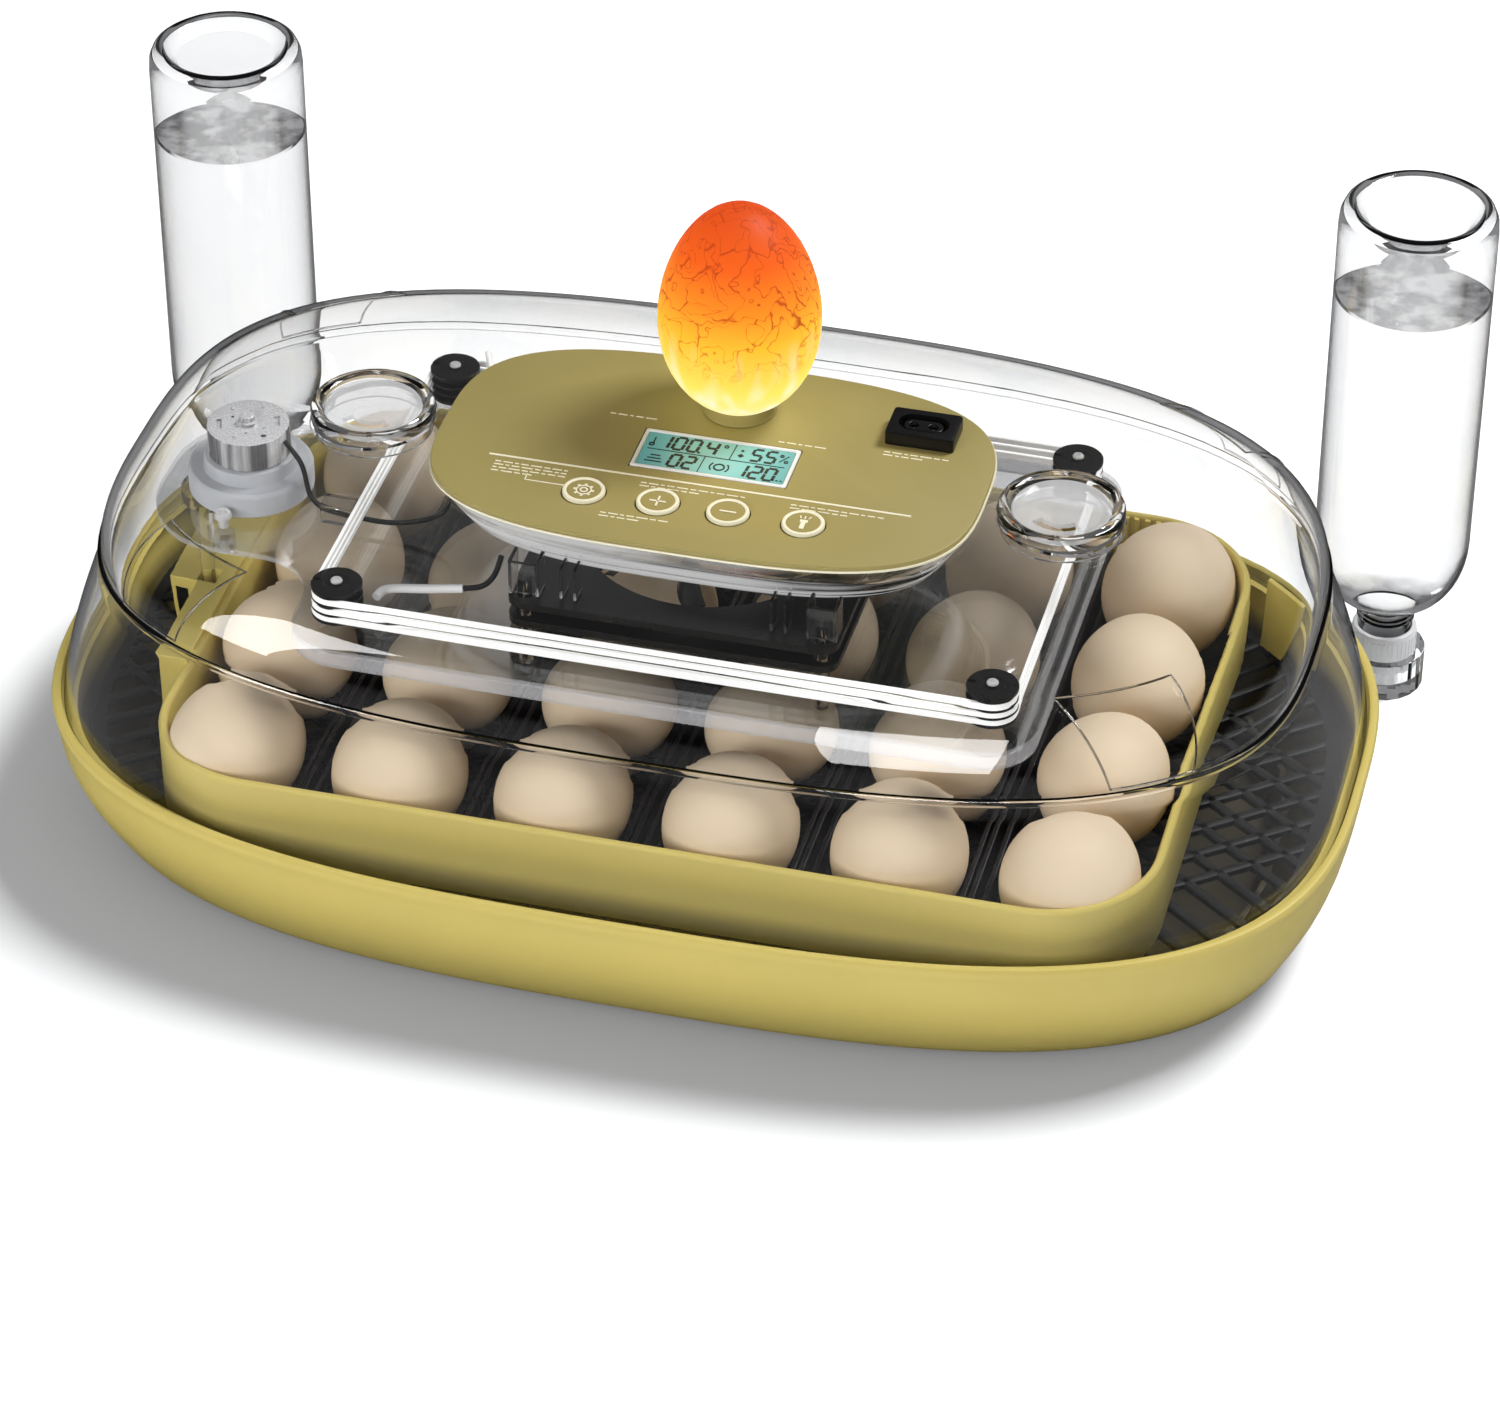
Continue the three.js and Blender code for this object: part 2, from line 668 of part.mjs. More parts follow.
function fanPlate(top, opening) {
  const low = top - FAN.thick;
  const plate = roundedSlab(FAN.half, FAN.half, FAN.corner, low, top);
  const tools = [post(opening, low - 1, top + 1, 0, 0, 28)];
  for (const [, sx, sy] of CORNERS) {
    tools.push(post(2.7, low - 1, top + 1, sx * STANDOFF_OFFSET, sy * STANDOFF_OFFSET, 8));
  }
  return cut(plate, ...tools);
}

function fanRotor() {
  const hub = post(14, 101.5, 111.5, 0, 0, 28);
  const pieces = [hub];
  const blades = 7;
  for (let i = 0; i < blades; i += 1) {
    const blade = box(12, 40, -7, 7, -0.7, 0.7);
    blade.rotateX(0.45).rotateZ((2 * Math.PI * i) / blades).translate(0, 0, 105.8);
    pieces.push(blade);
  }
  return join(...pieces);
}

function spool() {
  const { radius, low, top } = SPOOL;
  const core = radius - 1.9;
  const lip = 0.9;
  return latheZ(
    [
      [0, low], [radius, low], [radius, low + lip], [core, low + lip],
      [core, top - lip], [radius, top - lip], [radius, top], [0, top],
    ],
    18,
  );
}

function wireHeight(turn) {
  return SPOOL.low + 2.3 + 2.9 * turn;
}

// Three flat turns of heating wire round the four spools, joined by two short risers.
function heatingWire() {
  const around = SPOOL.radius - 1.5;
  const thick = 1.3;
  const tall = 2;
  const x = SPOOL.x + around;
  const y = SPOOL.y + around;
  const pieces = [];
  for (let turn = 0; turn < 3; turn += 1) {
    const z = wireHeight(turn);
    const outer = roundedSlab(x + thick, y + thick, around + thick, z - tall / 2, z + tall / 2, 3);
    const inner = roundedSlab(x, y, around, z - tall, z + tall, 3);
    pieces.push(geometryOf(solid(outer).subtract(solid(inner))));
  }
  const riser = (turn) => box(
    -x - thick + 0.1, -x - 0.1, 30, 34, wireHeight(turn), wireHeight(turn + 1),
  );
  return join(...pieces, riser(0), riser(1));
}

function addHeaterAndFan() {
  add('baffle_plate', bafflePlate(), clearFinish(0xdfe3e4));
  add('fan_lower_plate', fanPlate(FAN.lowTop, FAN.opening), finish(BLACK, 0.4));
  add('fan_upper_plate', fanPlate(FAN.highTop, FAN.opening - 2), finish(BLACK, 0.4));
  add('fan_rotor', fanRotor(), finish(BLACK, 0.4));
  add('fan_motor', post(10, 112.1, 115.4, 0, 0, 24), finish(0x3a3a3a, 0.4, 0.6));
  const reach = post(2.3, 84, PANEL.z - PANEL.thick - BOWL_DEPTH - 0.6, 0, 0, 12);
  for (const [corner, sx, sy] of CORNERS) {
    add(`fan_post_${corner}`, reach, clearFinish(), sx * STANDOFF_OFFSET, sy * STANDOFF_OFFSET);
  }
  for (const [corner, sx, sy] of CORNERS) {
    add(`wire_spool_${corner}`, spool(), finish(BLACK, 0.4), sx * SPOOL.x, sy * SPOOL.y);
    const screw = latheZ([[0, 0], [1.9, 0], [1.7, 0.7], [0, 1]], 16);
    const metal = finish(0xd0d0d0, 0.3, 1);
    add(`spool_screw_${corner}`, screw, metal, sx * SPOOL.x, sy * SPOOL.y, SPOOL.top + 0.3);
  }
  add('heating_wire', heatingWire(), finish(WHITE, 0.6));
  const lead = [[-98, 74, 113.5], [-92, 60, 114], [-86, 50, 116], [-84, 44, 122]];
  add('heater_lead', tube(lead, 1.1, 12), finish(WHITE, 0.6));
}

// ---------------------------------------------------------------- turning motor and wiring
function motorCan() {
  const { canRadius, canTop } = MOTOR;
  const can = latheZ(
    [
      [0, 113.3], [canRadius, 113.3], [canRadius, canTop - 0.5], [canRadius - 0.5, canTop],
      [3.2, canTop], [3.2, canTop + 1], [2.2, canTop + 1.2], [2.2, canTop + 2.8],
      [1.8, canTop + 3.2], [0, canTop + 3.2],
    ],
    24,
  );
  const slots = [-8.4, 8.4].map((y) => box(-3, 3, y - 0.9, y + 0.9, canTop - 0.6, canTop + 1));
  return cut(can, ...slots.map((slot) => slot.rotateZ(0.5)));
}

function motorCollar() {
  const low = PLATE.top + 0.4;
  return latheZ(
    [
      [0, low], [20.2, low], [20.6, low + 0.6], [20.6, 107.6], [19.8, 108.4], [15.8, 108.4],
      [15.4, 112.4], [14.8, 113], [0, 113],
    ],
    28,
  );
}

// Output shaft, round crank and the pin that reaches down into the yoke.
function turnerCrank() {
  const { x, y, arm, pinRadius, pinFoot, discRadius, low, top } = CRANK;
  const disc = post(discRadius, low, top, x, y, 28);
  const shaft = post(3.4, top - 1, PLATE.top, x, y, 16);
  const pin = post(pinRadius, pinFoot, low + 1, x, y - arm, 16);
  return join(disc, shaft, pin);
}

function bossScrew() {
  return latheZ([[0, 0], [1.4, 0], [1.4, 3.6], [2.9, 3.6], [2.9, 4.6], [1.8, 5.4], [0, 5.6]], 20);
}

function addMotor() {
  add('motor_can', motorCan(), finish(0xcfcfcf, 0.22, 1), MOTOR.x, MOTOR.y);
  add('motor_collar', motorCollar(), finish(0x8f9194, 0.55), MOTOR.x, MOTOR.y);
  add('turner_crank', turnerCrank(), clearFinish());
  for (const [end, y] of [['front', MOTOR.y - 25.5], ['rear', MOTOR.y + 25.5]]) {
    const metal = finish(0xd8d8d8, 0.25, 1);
    add(`motor_screw_${end}`, bossScrew(), metal, MOTOR.x - 1, y, PLATE.top + 0.4);
  }
  const flex = [
    [-141, -3, 120], [-135, -6, 113], [-132.5, -10, 105], [-124, -12, 102.6], [-104, -12, 101.8],
    [-88, -10, 107], [-84.5, -9, 122],
  ];
  add('motor_cable', tube(flex, 0.9, 28), finish(BLACK, 0.5));
  const clip = cut(
    box(-128, -117, -15.6, -8.4, PLATE.top + 0.4, 106.6),
    box(-129, -116, -14.6, -9.4, PLATE.top + 1.2, 105.6),
  );
  add('cable_clip', clip, clearFinish());
}

function addProbe() {
  const start = [-93, -50, 104.5];
  const end = [-70, -46, 105.5];
  const sleeve = tube([start, [-82, -48, 104.5], end], 1.5, 8);
  add('probe_sleeve', sleeve, finish(WHITE, 0.5));
  const path = [[-69.3, -46, 105.6], [-64, -44.5, 106.5], [-61, -41, 109], [-60, -36, 113.2]];
  const cable = tube(path, 1, 14);
  add('probe_cable', cable, finish(BLACK, 0.5));
}

addBase();
addTurner();
addBottles();
addLid();
addControlUnit();
addHeaterAndFan();
addMotor();
addProbe();

export default incubator;
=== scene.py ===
"""Looks of a table-top egg incubator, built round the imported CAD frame.

Shapes are worked out in millimetres, in the frame's own axes, and become metres when a piece is made.
"""

from math import cos, pi, radians, sin

import bmesh
import bpy
from mathutils import Matrix, Vector


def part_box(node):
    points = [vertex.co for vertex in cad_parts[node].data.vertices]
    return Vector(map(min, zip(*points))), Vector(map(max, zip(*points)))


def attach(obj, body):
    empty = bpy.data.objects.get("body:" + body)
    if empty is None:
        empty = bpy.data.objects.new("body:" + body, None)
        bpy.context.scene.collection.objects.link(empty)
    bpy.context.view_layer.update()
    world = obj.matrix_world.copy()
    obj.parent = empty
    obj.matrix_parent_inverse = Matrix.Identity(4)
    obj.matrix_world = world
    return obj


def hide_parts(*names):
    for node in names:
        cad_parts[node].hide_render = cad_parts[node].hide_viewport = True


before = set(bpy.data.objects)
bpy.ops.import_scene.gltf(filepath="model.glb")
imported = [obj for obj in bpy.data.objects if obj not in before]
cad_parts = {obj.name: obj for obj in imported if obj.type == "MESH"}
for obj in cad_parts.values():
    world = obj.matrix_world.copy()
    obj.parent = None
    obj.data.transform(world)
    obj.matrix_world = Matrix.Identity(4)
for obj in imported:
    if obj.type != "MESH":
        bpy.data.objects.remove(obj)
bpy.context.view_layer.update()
MM = 0.001
SCRATCH = bpy.data.meshes.new("scratch")


# ---------------------------------------------------------------- sizes that come from the frame
def span(node):
    """Lowest and highest corner of a CAD node, in millimetres."""
    low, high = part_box(node)
    return low / MM, high / MM


def middle(node):
    low, high = span(node)
    return (low + high) / 2


def half_width(node):
    low, high = span(node)
    return (high.x - low.x) / 2


def measures(node):
    """A node's lowest and highest corner, middle and half width."""
    return (*span(node), middle(node), half_width(node))


RIM = span("base_tub")[1]
LID_FOOT, LID_TOP = span("dome_cover")
PANEL = span("control_panel")[1]
FRAME_LOW = span("divider_grid")[0].z
PLATE_LOW, PLATE_HIGH = span("baffle_plate")
MAT = span("floor_mat")[1]

OVAL = 2.95                 # exponent of the base and lid outline
PANEL_OVAL = 3.18
WALL = 3.0
LEDGE = 46.0                # the lid stands on this ledge inside the rim
UNDERSIDE = Vector((RIM.x - 15.6, RIM.y - 19.4))
CREASE = Vector((RIM.x - 19, RIM.y - 16.8, 103.7))
SHOULDER = 24.0
CROWN = 137.0
LID_WALL = 2.4
RING = 168                  # points round a large oval
EGG_WIDE, EGG_LONG = 54.6, 52.5      # pitch of the egg columns and rows
EGG_COLUMNS, EGG_ROWS, EGG_MIDDLE = 6, 4, 56.0
YOKE_WINDOW = ((span("egg_frame")[0].x + 1.5, -13.0, 43.0), (-178.0, 36.0, 61.5))


# ---------------------------------------------------------------- outlines
def oval(x, y, z, power=OVAL, count=RING):
    """A ring of points on an oval of half sizes x and y, evenly spread round the corners."""
    return [oval_point(x, y, z, power, 2 * pi * i / count) for i in range(count)]


def oval_point(x, y, z, power, turn):
    c, s = cos(turn), sin(turn)
    k = (abs(c) ** power + abs(s) ** power) ** (1 / power)
    return (x * c / k, y * s / k, z)


def circle(radius, z=0.0, x=0.0, y=0.0, count=64):
    turns = [2 * pi * i / count for i in range(count)]
    return [(x + radius * cos(a), y + radius * sin(a), z) for a in turns]


def arc(x, y, radius, start, end, steps=10):
    """Points on an arc, angles in degrees."""
    turns = [radians(start + (end - start) * i / steps) for i in range(steps + 1)]
    return [(x + radius * cos(a), y + radius * sin(a)) for a in turns]


def rounded(x, y, radius, cx=0.0, cy=0.0, steps=10):
    """A rectangle of half sizes x and y with round corners."""
    ix, iy = x - radius, y - radius
    corners = [(ix, -iy, -90), (ix, iy, 0), (-ix, iy, 90), (-ix, -iy, 180)]
    points = []
    for px, py, start in corners:
        points += arc(cx + px, cy + py, radius, start, start + 90, steps)
    return points


def rounded_rings(x, y, corner, edge, spot=Vector((0, 0)), steps=10):
    """Rounded rectangles drawn in by each (inset, z) of an edge; the corners keep their radius."""
    return [at(rounded(x - inset, y - inset, corner, spot.x, spot.y, steps), z) for inset, z in edge]


def at(outline, z):
    return [(x, y, z) for x, y in outline]


def from_edge(radius, z, *steps):
    """Profile points given as (inward, up) steps from an edge."""
    return [(radius - inward, z + up) for inward, up in steps]


def box_outline(x0, x1, y0, y1):
    return [(x0, y0), (x1, y0), (x1, y1), (x0, y1)]


# ---------------------------------------------------------------- shapes
class Shape:
    """One piece under construction: closed surfaces gathered in one mesh, in millimetres."""

    def __init__(self):
        self.mesh = bmesh.new()

    def loft(self, rings, closed=False):
        """A skin over rings of equal length. Closed joins the last ring to the first, open gets end caps."""
        rows = [[self.mesh.verts.new(p) for p in ring] for ring in rings]
        pairs = list(zip(rows, rows[1:]))
        if closed:
            pairs.append((rows[-1], rows[0]))
        for low, top in pairs:
            for i in range(len(low)):
                j = (i + 1) % len(low)
                self.mesh.faces.new((low[i], low[j], top[j], top[i]))
        if not closed:
            self.mesh.faces.new(rows[0][::-1])
            self.mesh.faces.new(rows[-1])
        return self

    def lathe(self, profile, spot=Vector((0, 0)), count=64):
        """Turns a profile of (radius, height) upright; one that ends where it starts makes a ring."""
        closed = profile[0] == profile[-1]
        used = profile[:-1] if closed else profile
        return self.loft([circle(r, z, spot.x, spot.y, count) for r, z in used], closed)

    def slab(self, outline, low, top):
        return self.loft([at(outline, low), at(outline, top)])

    def block(self, x0, x1, y0, y1, z0, z1):
        return self.slab(box_outline(x0, x1, y0, y1), z0, z1)

    def sweep(self, path, section, closed=False):
        """Carries an upright section, a list of (outward, up) points, along a path."""
        rings = []
        last = len(path) - 1
        for i, point in enumerate(path):
            before = Vector(path[i - 1] if i or closed else path[0])
            after = Vector(path[(i + 1) % len(path)] if i < last or closed else path[last])
            along = after - before
            side = Vector((along.y, -along.x, 0)).normalized()
            rings.append([Vector(point) + side * u + Vector((0, 0, v)) for u, v in section])
        return self.loft(rings, closed)

    def tube(self, path, radius, sides=12):
        """A round rod along a path in space."""
        points = [Vector(p) for p in path]
        rings = []
        normal = None
        for i, point in enumerate(points):
            along = (points[min(i + 1, len(points) - 1)] - points[max(i - 1, 0)]).normalized()
            if normal is None:
                normal = along.orthogonal()
            normal = (normal - along * normal.dot(along)).normalized()
            across = along.cross(normal)
            turns = [2 * pi * k / sides for k in range(sides)]
            rings.append([point + (normal * cos(a) + across * sin(a)) * radius for a in turns])
        return self.loft(rings)

    def moved(self, matrix):
        bmesh.ops.transform(self.mesh, matrix=matrix, verts=self.mesh.verts)
        return self

    def data(self, name):
        bmesh.ops.recalc_face_normals(self.mesh, faces=self.mesh.faces)
        mesh = bpy.data.meshes.new(name)
        self.mesh.to_mesh(mesh)
        self.mesh.free()
        mesh.transform(Matrix.Scale(MM, 4))
        return mesh


def curve_through(points, steps=8):
    """A smooth path through the given points."""
    p = [Vector(v) for v in points]
    p = [2 * p[0] - p[1]] + p + [2 * p[-1] - p[-2]]
    path = []
    for i in range(1, len(p) - 2):
        for k in range(steps):
            t = k / steps
            a, b, c, d = p[i - 1], p[i], p[i + 1], p[i + 2]
            path.append(0.5 * (2 * b + (c - a) * t + (2 * a - 5 * b + 4 * c - d) * t ** 2
                               + (3 * b - 3 * c + d - a) * t ** 3))
    return path + [p[-2]]


def made(name, shape):
    thing = bpy.data.objects.new(name, shape.data(name))
    bpy.context.scene.collection.objects.link(thing)
    return thing


def cut(name, shape, *tools):
    """The shape with the tools' volumes taken away, as a new object."""
    body = made(name, shape)
    helpers = [made("cutter", tool) for tool in tools]
    for helper in helpers:
        step = body.modifiers.new("cut", "BOOLEAN")
        step.operation = "DIFFERENCE"
        step.solver = "EXACT"
        step.object = helper
    bpy.context.view_layer.update()
    graph = bpy.context.evaluated_depsgraph_get()
    result = bpy.data.meshes.new_from_object(body.evaluated_get(graph))
    body.modifiers.clear()
    body.data = result
    for helper in helpers:
        bpy.data.objects.remove(helper)
    return body


def rounded_edges(thing, width, angle):
    bevel = thing.modifiers.new("rounded edges", "BEVEL")
    bevel.width = width * MM
    bevel.segments = 2
    bevel.limit_method = "ANGLE"
    bevel.angle_limit = radians(angle)


def finish(thing, look, width=0.0, angle=35.0):
    """Gives a made thing its material, rounds its hard edges and shades the rest smooth."""
    thing.data.materials.clear()
    thing.data.materials.append(LOOKS[look])
    thing.data.shade_smooth()
    thing.data.set_sharp_from_angle(angle=radians(angle))
    if width:
        rounded_edges(thing, width, angle)


def piece(name, source, look, body, *stands_for, bevel=0.0):
    """Finishes a shape or object: material, rounded edges, its body and the nodes it stands for."""
    thing = made(name, source) if isinstance(source, Shape) else source
    finish(thing, look, bevel)
    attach(thing, body)
    if stands_for:
        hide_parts(*stands_for)


def prop(name, shape, look, body):
    """Something that rides on a body and isn't part of the object, such as an egg."""
    thing = made(name, shape)
    finish(thing, look)
    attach(thing, body)


# ---------------------------------------------------------------- materials
def linear(r, g, b):
    """An sRGB colour, 0 to 255, as the renderer's linear colour."""
    def one(v):
        v /= 255
        return v / 12.92 if v <= 0.04045 else ((v + 0.055) / 1.055) ** 2.4
    return (one(r), one(g), one(b), 1.0)


def put(tree, kind, inputs=None, **settings):
    """Adds a shader node, sets its fields and fills or links its inputs."""
    node = tree.nodes.new("ShaderNode" + kind)
    for key, value in settings.items():
        setattr(node, key, value)
    for key, value in (inputs or {}).items():
        feed(tree, node.inputs[key], value)
    return node


def feed(tree, socket, value):
    if isinstance(value, bpy.types.NodeSocket):
        tree.links.new(value, socket)
    else:
        socket.default_value = value


def mixed(tree, factor, first, second):
    """Two colours mixed by a factor."""
    node = put(tree, "Mix", data_type="RGBA")
    for index, value in ((0, factor), (6, first), (7, second)):
        feed(tree, node.inputs[index], value)
    return node.outputs[2]


def blend(tree, factor, first, second):
    """Two shaders mixed by a factor."""
    return put(tree, "MixShader", {0: factor, 1: first, 2: second}).outputs[0]


def ranged(tree, value, low, high, to_low, to_high):
    inputs = {"Value": value, "From Min": low, "From Max": high, "To Min": to_low, "To Max": to_high}
    return put(tree, "MapRange", inputs).outputs[0]


def sums(tree, operation, first, second=0.0):
    return put(tree, "Math", {0: first, 1: second}, operation=operation).outputs[0]


def vectors(tree, operation, first, second=(0.0, 0.0, 0.0), output="Vector"):
    return put(tree, "VectorMath", {0: first, 1: second}, operation=operation).outputs[output]


def noise(tree, place, scale, detail=2.0):
    return put(tree, "TexNoise", {"Vector": place, "Scale": scale, "Detail": detail}).outputs["Fac"]


def place_of(tree):
    """The shaded point in the object's own axes."""
    return put(tree, "TexCoord").outputs["Object"]


def height_of(tree, vector):
    return put(tree, "SeparateXYZ", {0: vector}).outputs["Z"]


def surface_normal(tree):
    return put(tree, "NewGeometry").outputs["Normal"]


def glowing(tree, colour, strength):
    return put(tree, "Emission", {"Color": colour, "Strength": strength}).outputs[0]


def see_through(tree, colour):
    return put(tree, "BsdfTransparent", {"Color": colour}).outputs[0]


def bumped(tree, height, strength, distance=0.0002):
    return put(tree, "Bump", {"Height": height, "Strength": strength, "Distance": distance}).outputs[0]


def ramped(tree, value, stops):
    """Runs a value through a colour ramp of (position, colour) stops."""
    ramp = put(tree, "ValToRGB", {"Fac": value})
    elements = ramp.color_ramp.elements
    while len(elements) < len(stops):
        elements.new(0.5)
    for element, (position, colour) in zip(elements, stops):
        element.position = position
        element.color = colour
    return ramp.outputs[0]


def new_tree(name):
    material = bpy.data.materials.new(name)
    material.use_nodes = True
    material.node_tree.nodes.clear()
    return material, material.node_tree


def finished(tree, shader, kind="OutputMaterial"):
    put(tree, kind, {"Surface": shader})


def principled(tree, colour, roughness, **more):
    return put(tree, "BsdfPrincipled", {"Base Color": colour, "Roughness": roughness, **more}).outputs[0]


def scaled(colour, k):
    return tuple(min(1.0, c * k) for c in colour[:3]) + (1.0,)


def moulded(name, colour, roughness, grain=1500, relief=0.12, drift=0.05, edge=0.12, metallic=0.0, **more):
    """Solid material with a broad colour drift, fine grain, uneven gloss and lighter worn edges."""
    material, tree = new_tree(name)
    place = place_of(tree)
    broad = ranged(tree, noise(tree, place, 22.0, 3.0), 0.3, 0.7, 0.0, 1.0)
    point = put(tree, "NewGeometry").outputs["Pointiness"]
    worn = ranged(tree, point, 0.505, 0.56, 0.0, edge)
    body = mixed(tree, broad, scaled(colour, 1 - drift), scaled(colour, 1 + drift))
    body = mixed(tree, worn, body, scaled(colour, 1.5))
    gloss = ranged(tree, noise(tree, place, 70.0, 4.0), 0.3, 0.7, roughness * 0.88, roughness * 1.12)
    more.update({"Normal": bumped(tree, noise(tree, place, grain), relief), "Metallic": metallic})
    finished(tree, principled(tree, body, gloss, **more))
    return material


def with_painted_edge_shade(tree, tint, depth, start):
    """The tint, darkened where the surface turns away from the eye: painted shade on the edges of clear
    parts.
    """
    facing = put(tree, "LayerWeight", {"Blend": 0.5}).outputs["Facing"]
    return mixed(tree, ranged(tree, facing, start, 0.98, 0.0, 1.0), tint, scaled(tint, depth))


def colour_input(material):
    """The base colour's socket of a moulded material and what feeds it."""
    shader = next(node for node in material.node_tree.nodes if node.type == "BSDF_PRINCIPLED")
    socket = shader.inputs["Base Color"]
    return socket, socket.links[0].from_socket


def tub_with_painted_shade(material):
    """Paints shade on the tub's inside below the mat and greys the light that the tub throws back."""
    tree = material.node_tree
    socket, colour = colour_input(material)
    place = place_of(tree)
    flat = vectors(tree, "MULTIPLY", place, (1.0, 1.0, 0.0))
    outward = vectors(tree, "DOT_PRODUCT", flat, surface_normal(tree), "Value")
    inside = sums(tree, "LESS_THAN", outward, 0.01)
    mat = MAT.z * MM
    under = ranged(tree, height_of(tree, place), mat - 0.004, mat + 0.002, 0.8, 0.0)
    # painted shade: the tub's inside below the mat turns dark brown-olive
    shade = mixed(tree, sums(tree, "MULTIPLY", inside, under), colour, linear(40, 35, 20))
    thrown = put(tree, "LightPath").outputs["Is Diffuse Ray"]
    feed(tree, socket, mixed(tree, thrown, shade, linear(120, 118, 110)))
    return material


def yoke_with_painted_shade(material):
    """Paints shade on the walls inside the yoke's window."""
    tree = material.node_tree
    socket, colour = colour_input(material)
    low, high = (Vector(corner) * MM for corner in YOKE_WINDOW)
    offset = vectors(tree, "SUBTRACT", place_of(tree), (low + high) / 2)
    share = vectors(tree, "DIVIDE", offset, (high - low) * 0.503)
    part = put(tree, "SeparateXYZ", {0: vectors(tree, "ABSOLUTE", share)}).outputs
    most = sums(tree, "MAXIMUM", sums(tree, "MAXIMUM", part["X"], part["Y"]), part["Z"])
    inside = sums(tree, "LESS_THAN", most, 1.0)
    # painted shade: the walls inside the window turn near black
    feed(tree, socket, mixed(tree, inside, colour, linear(24, 22, 16)))
    return material


def unseen_ray(tree):
    """One for rays of lamps and soft light, nought for those that the eye follows."""
    path = put(tree, "LightPath").outputs
    return sums(tree, "MAXIMUM", path["Is Shadow Ray"], path["Is Diffuse Ray"])


def clear(name, tint, ior=1.46, wave=0.25, depth=0.4, start=0.76):
    """Clear plastic: it bends light for the eye, and lets lamps and soft light straight through."""
    material, tree = new_tree(name)
    place = place_of(tree)
    bump = bumped(tree, noise(tree, place, 26.0, 1.0), wave, 0.0004)
    gloss = ranged(tree, noise(tree, place, 300.0, 4.0), 0.62, 0.8, 0.0, 0.05)
    # the glass colour carries painted shade where the surface turns away from the eye
    inputs = {"Color": with_painted_edge_shade(tree, tint, depth, start), "Roughness": gloss, "IOR": ior, "Normal": bump}
    glass = put(tree, "BsdfGlass", inputs).outputs[0]
    finished(tree, blend(tree, unseen_ray(tree), glass, see_through(tree, scaled(tint, 0.99))))
    return material


def overlaid(material, share, shader):
    """Lays a second shader over a finished material."""
    tree = material.node_tree
    output = next(node for node in tree.nodes if node.type == "OUTPUT_MATERIAL")
    socket = output.inputs["Surface"]
    feed(tree, socket, blend(tree, share, socket.links[0].from_socket, shader))
    return material


def with_painted_water_sheen(material):
    """Shows the water's level as a grey, slightly rippled disc: a glowing painted reflection."""
    tree = material.node_tree
    ripple = ranged(tree, noise(tree, place_of(tree), 130.0, 3.0), 0.4, 0.62, 0.0, 1.0)
    # painted reflection: an up-facing glow, grey with lighter ripples
    shine = mixed(tree, ripple, (0.2, 0.2, 0.21, 1), (0.75, 0.75, 0.76, 1))
    up = height_of(tree, surface_normal(tree))
    return overlaid(material, ranged(tree, up, 0.8, 0.95, 0.0, 0.6), glowing(tree, shine, 0.8))


def with_painted_reflection_bands(material):
    """Paints the pale level bands that a studio throws on a curved clear wall: glowing painted reflections.
    """
    tree = material.node_tree
    level = vectors(tree, "MULTIPLY", place_of(tree), (9.0, 9.0, 330.0))
    # painted reflection: pale glowing level bands, left out of shadow and soft-light rays
    band = ranged(tree, noise(tree, level, 1.0), 0.54, 0.6, 0.0, 0.5)
    share = sums(tree, "MAXIMUM", sums(tree, "SUBTRACT", band, unseen_ray(tree)), 0.0)
    return overlaid(material, share, glowing(tree, (0.8, 0.8, 0.8, 1), 0.8))


def thin_sheet(name, tint, shine=0.5):
    """A flat clear plate that only tints what is behind it; its cut edges catch the light."""
    material, tree = new_tree(name)
    haze = noise(tree, place_of(tree), 45.0, 4.0)
    gloss = ranged(tree, haze, 0.35, 0.7, 0.02, 0.09)
    through = see_through(tree, mixed(tree, haze, tint, scaled(tint, 0.94)))
    mirror = put(tree, "BsdfGlossy", {"Color": (1, 1, 1, 1), "Roughness": gloss}).outputs[0]
    bounce = sums(tree, "MULTIPLY", put(tree, "Fresnel", {"IOR": 1.46}).outputs[0], shine)
    frost = put(tree, "BsdfDiffuse", {"Color": (0.86, 0.86, 0.88, 1)}).outputs[0]
    up = sums(tree, "ABSOLUTE", height_of(tree, surface_normal(tree)))
    is_flat = sums(tree, "GREATER_THAN", up, 0.7)
    edge = blend(tree, 0.24, see_through(tree, (0.9, 0.9, 0.92, 1)), frost)
    finished(tree, blend(tree, is_flat, edge, blend(tree, bounce, through, mirror)))
    return material


def steel_with_painted_streaks():
    """Drawn metal with fine upright grain, and light and dark upright streaks on its wall that are painted
    reflections.
    """
    material, tree = new_tree("motor_steel")
    upright = vectors(tree, "MULTIPLY", place_of(tree), (1.0, 1.0, 0.03))
    fine = noise(tree, upright, 1400.0)
    wall = ranged(tree, height_of(tree, surface_normal(tree)), 0.4, 0.7, 1.0, 0.0)
    painted_streak = sums(tree, "MULTIPLY", ranged(tree, noise(tree, upright, 190.0), 0.42, 0.58, 0.0, 0.85), wall)
    # painted reflection: upright light and dark streaks on the can's wall
    colour = mixed(tree, painted_streak, linear(232, 232, 234), linear(62, 62, 66))
    gloss = ranged(tree, fine, 0.3, 0.7, 0.2, 0.32)
    bump = bumped(tree, fine, ranged(tree, wall, 0.0, 1.0, 0.0, 0.08))
    finished(tree, principled(tree, colour, gloss, Normal=bump, Metallic=0.3))
    return material


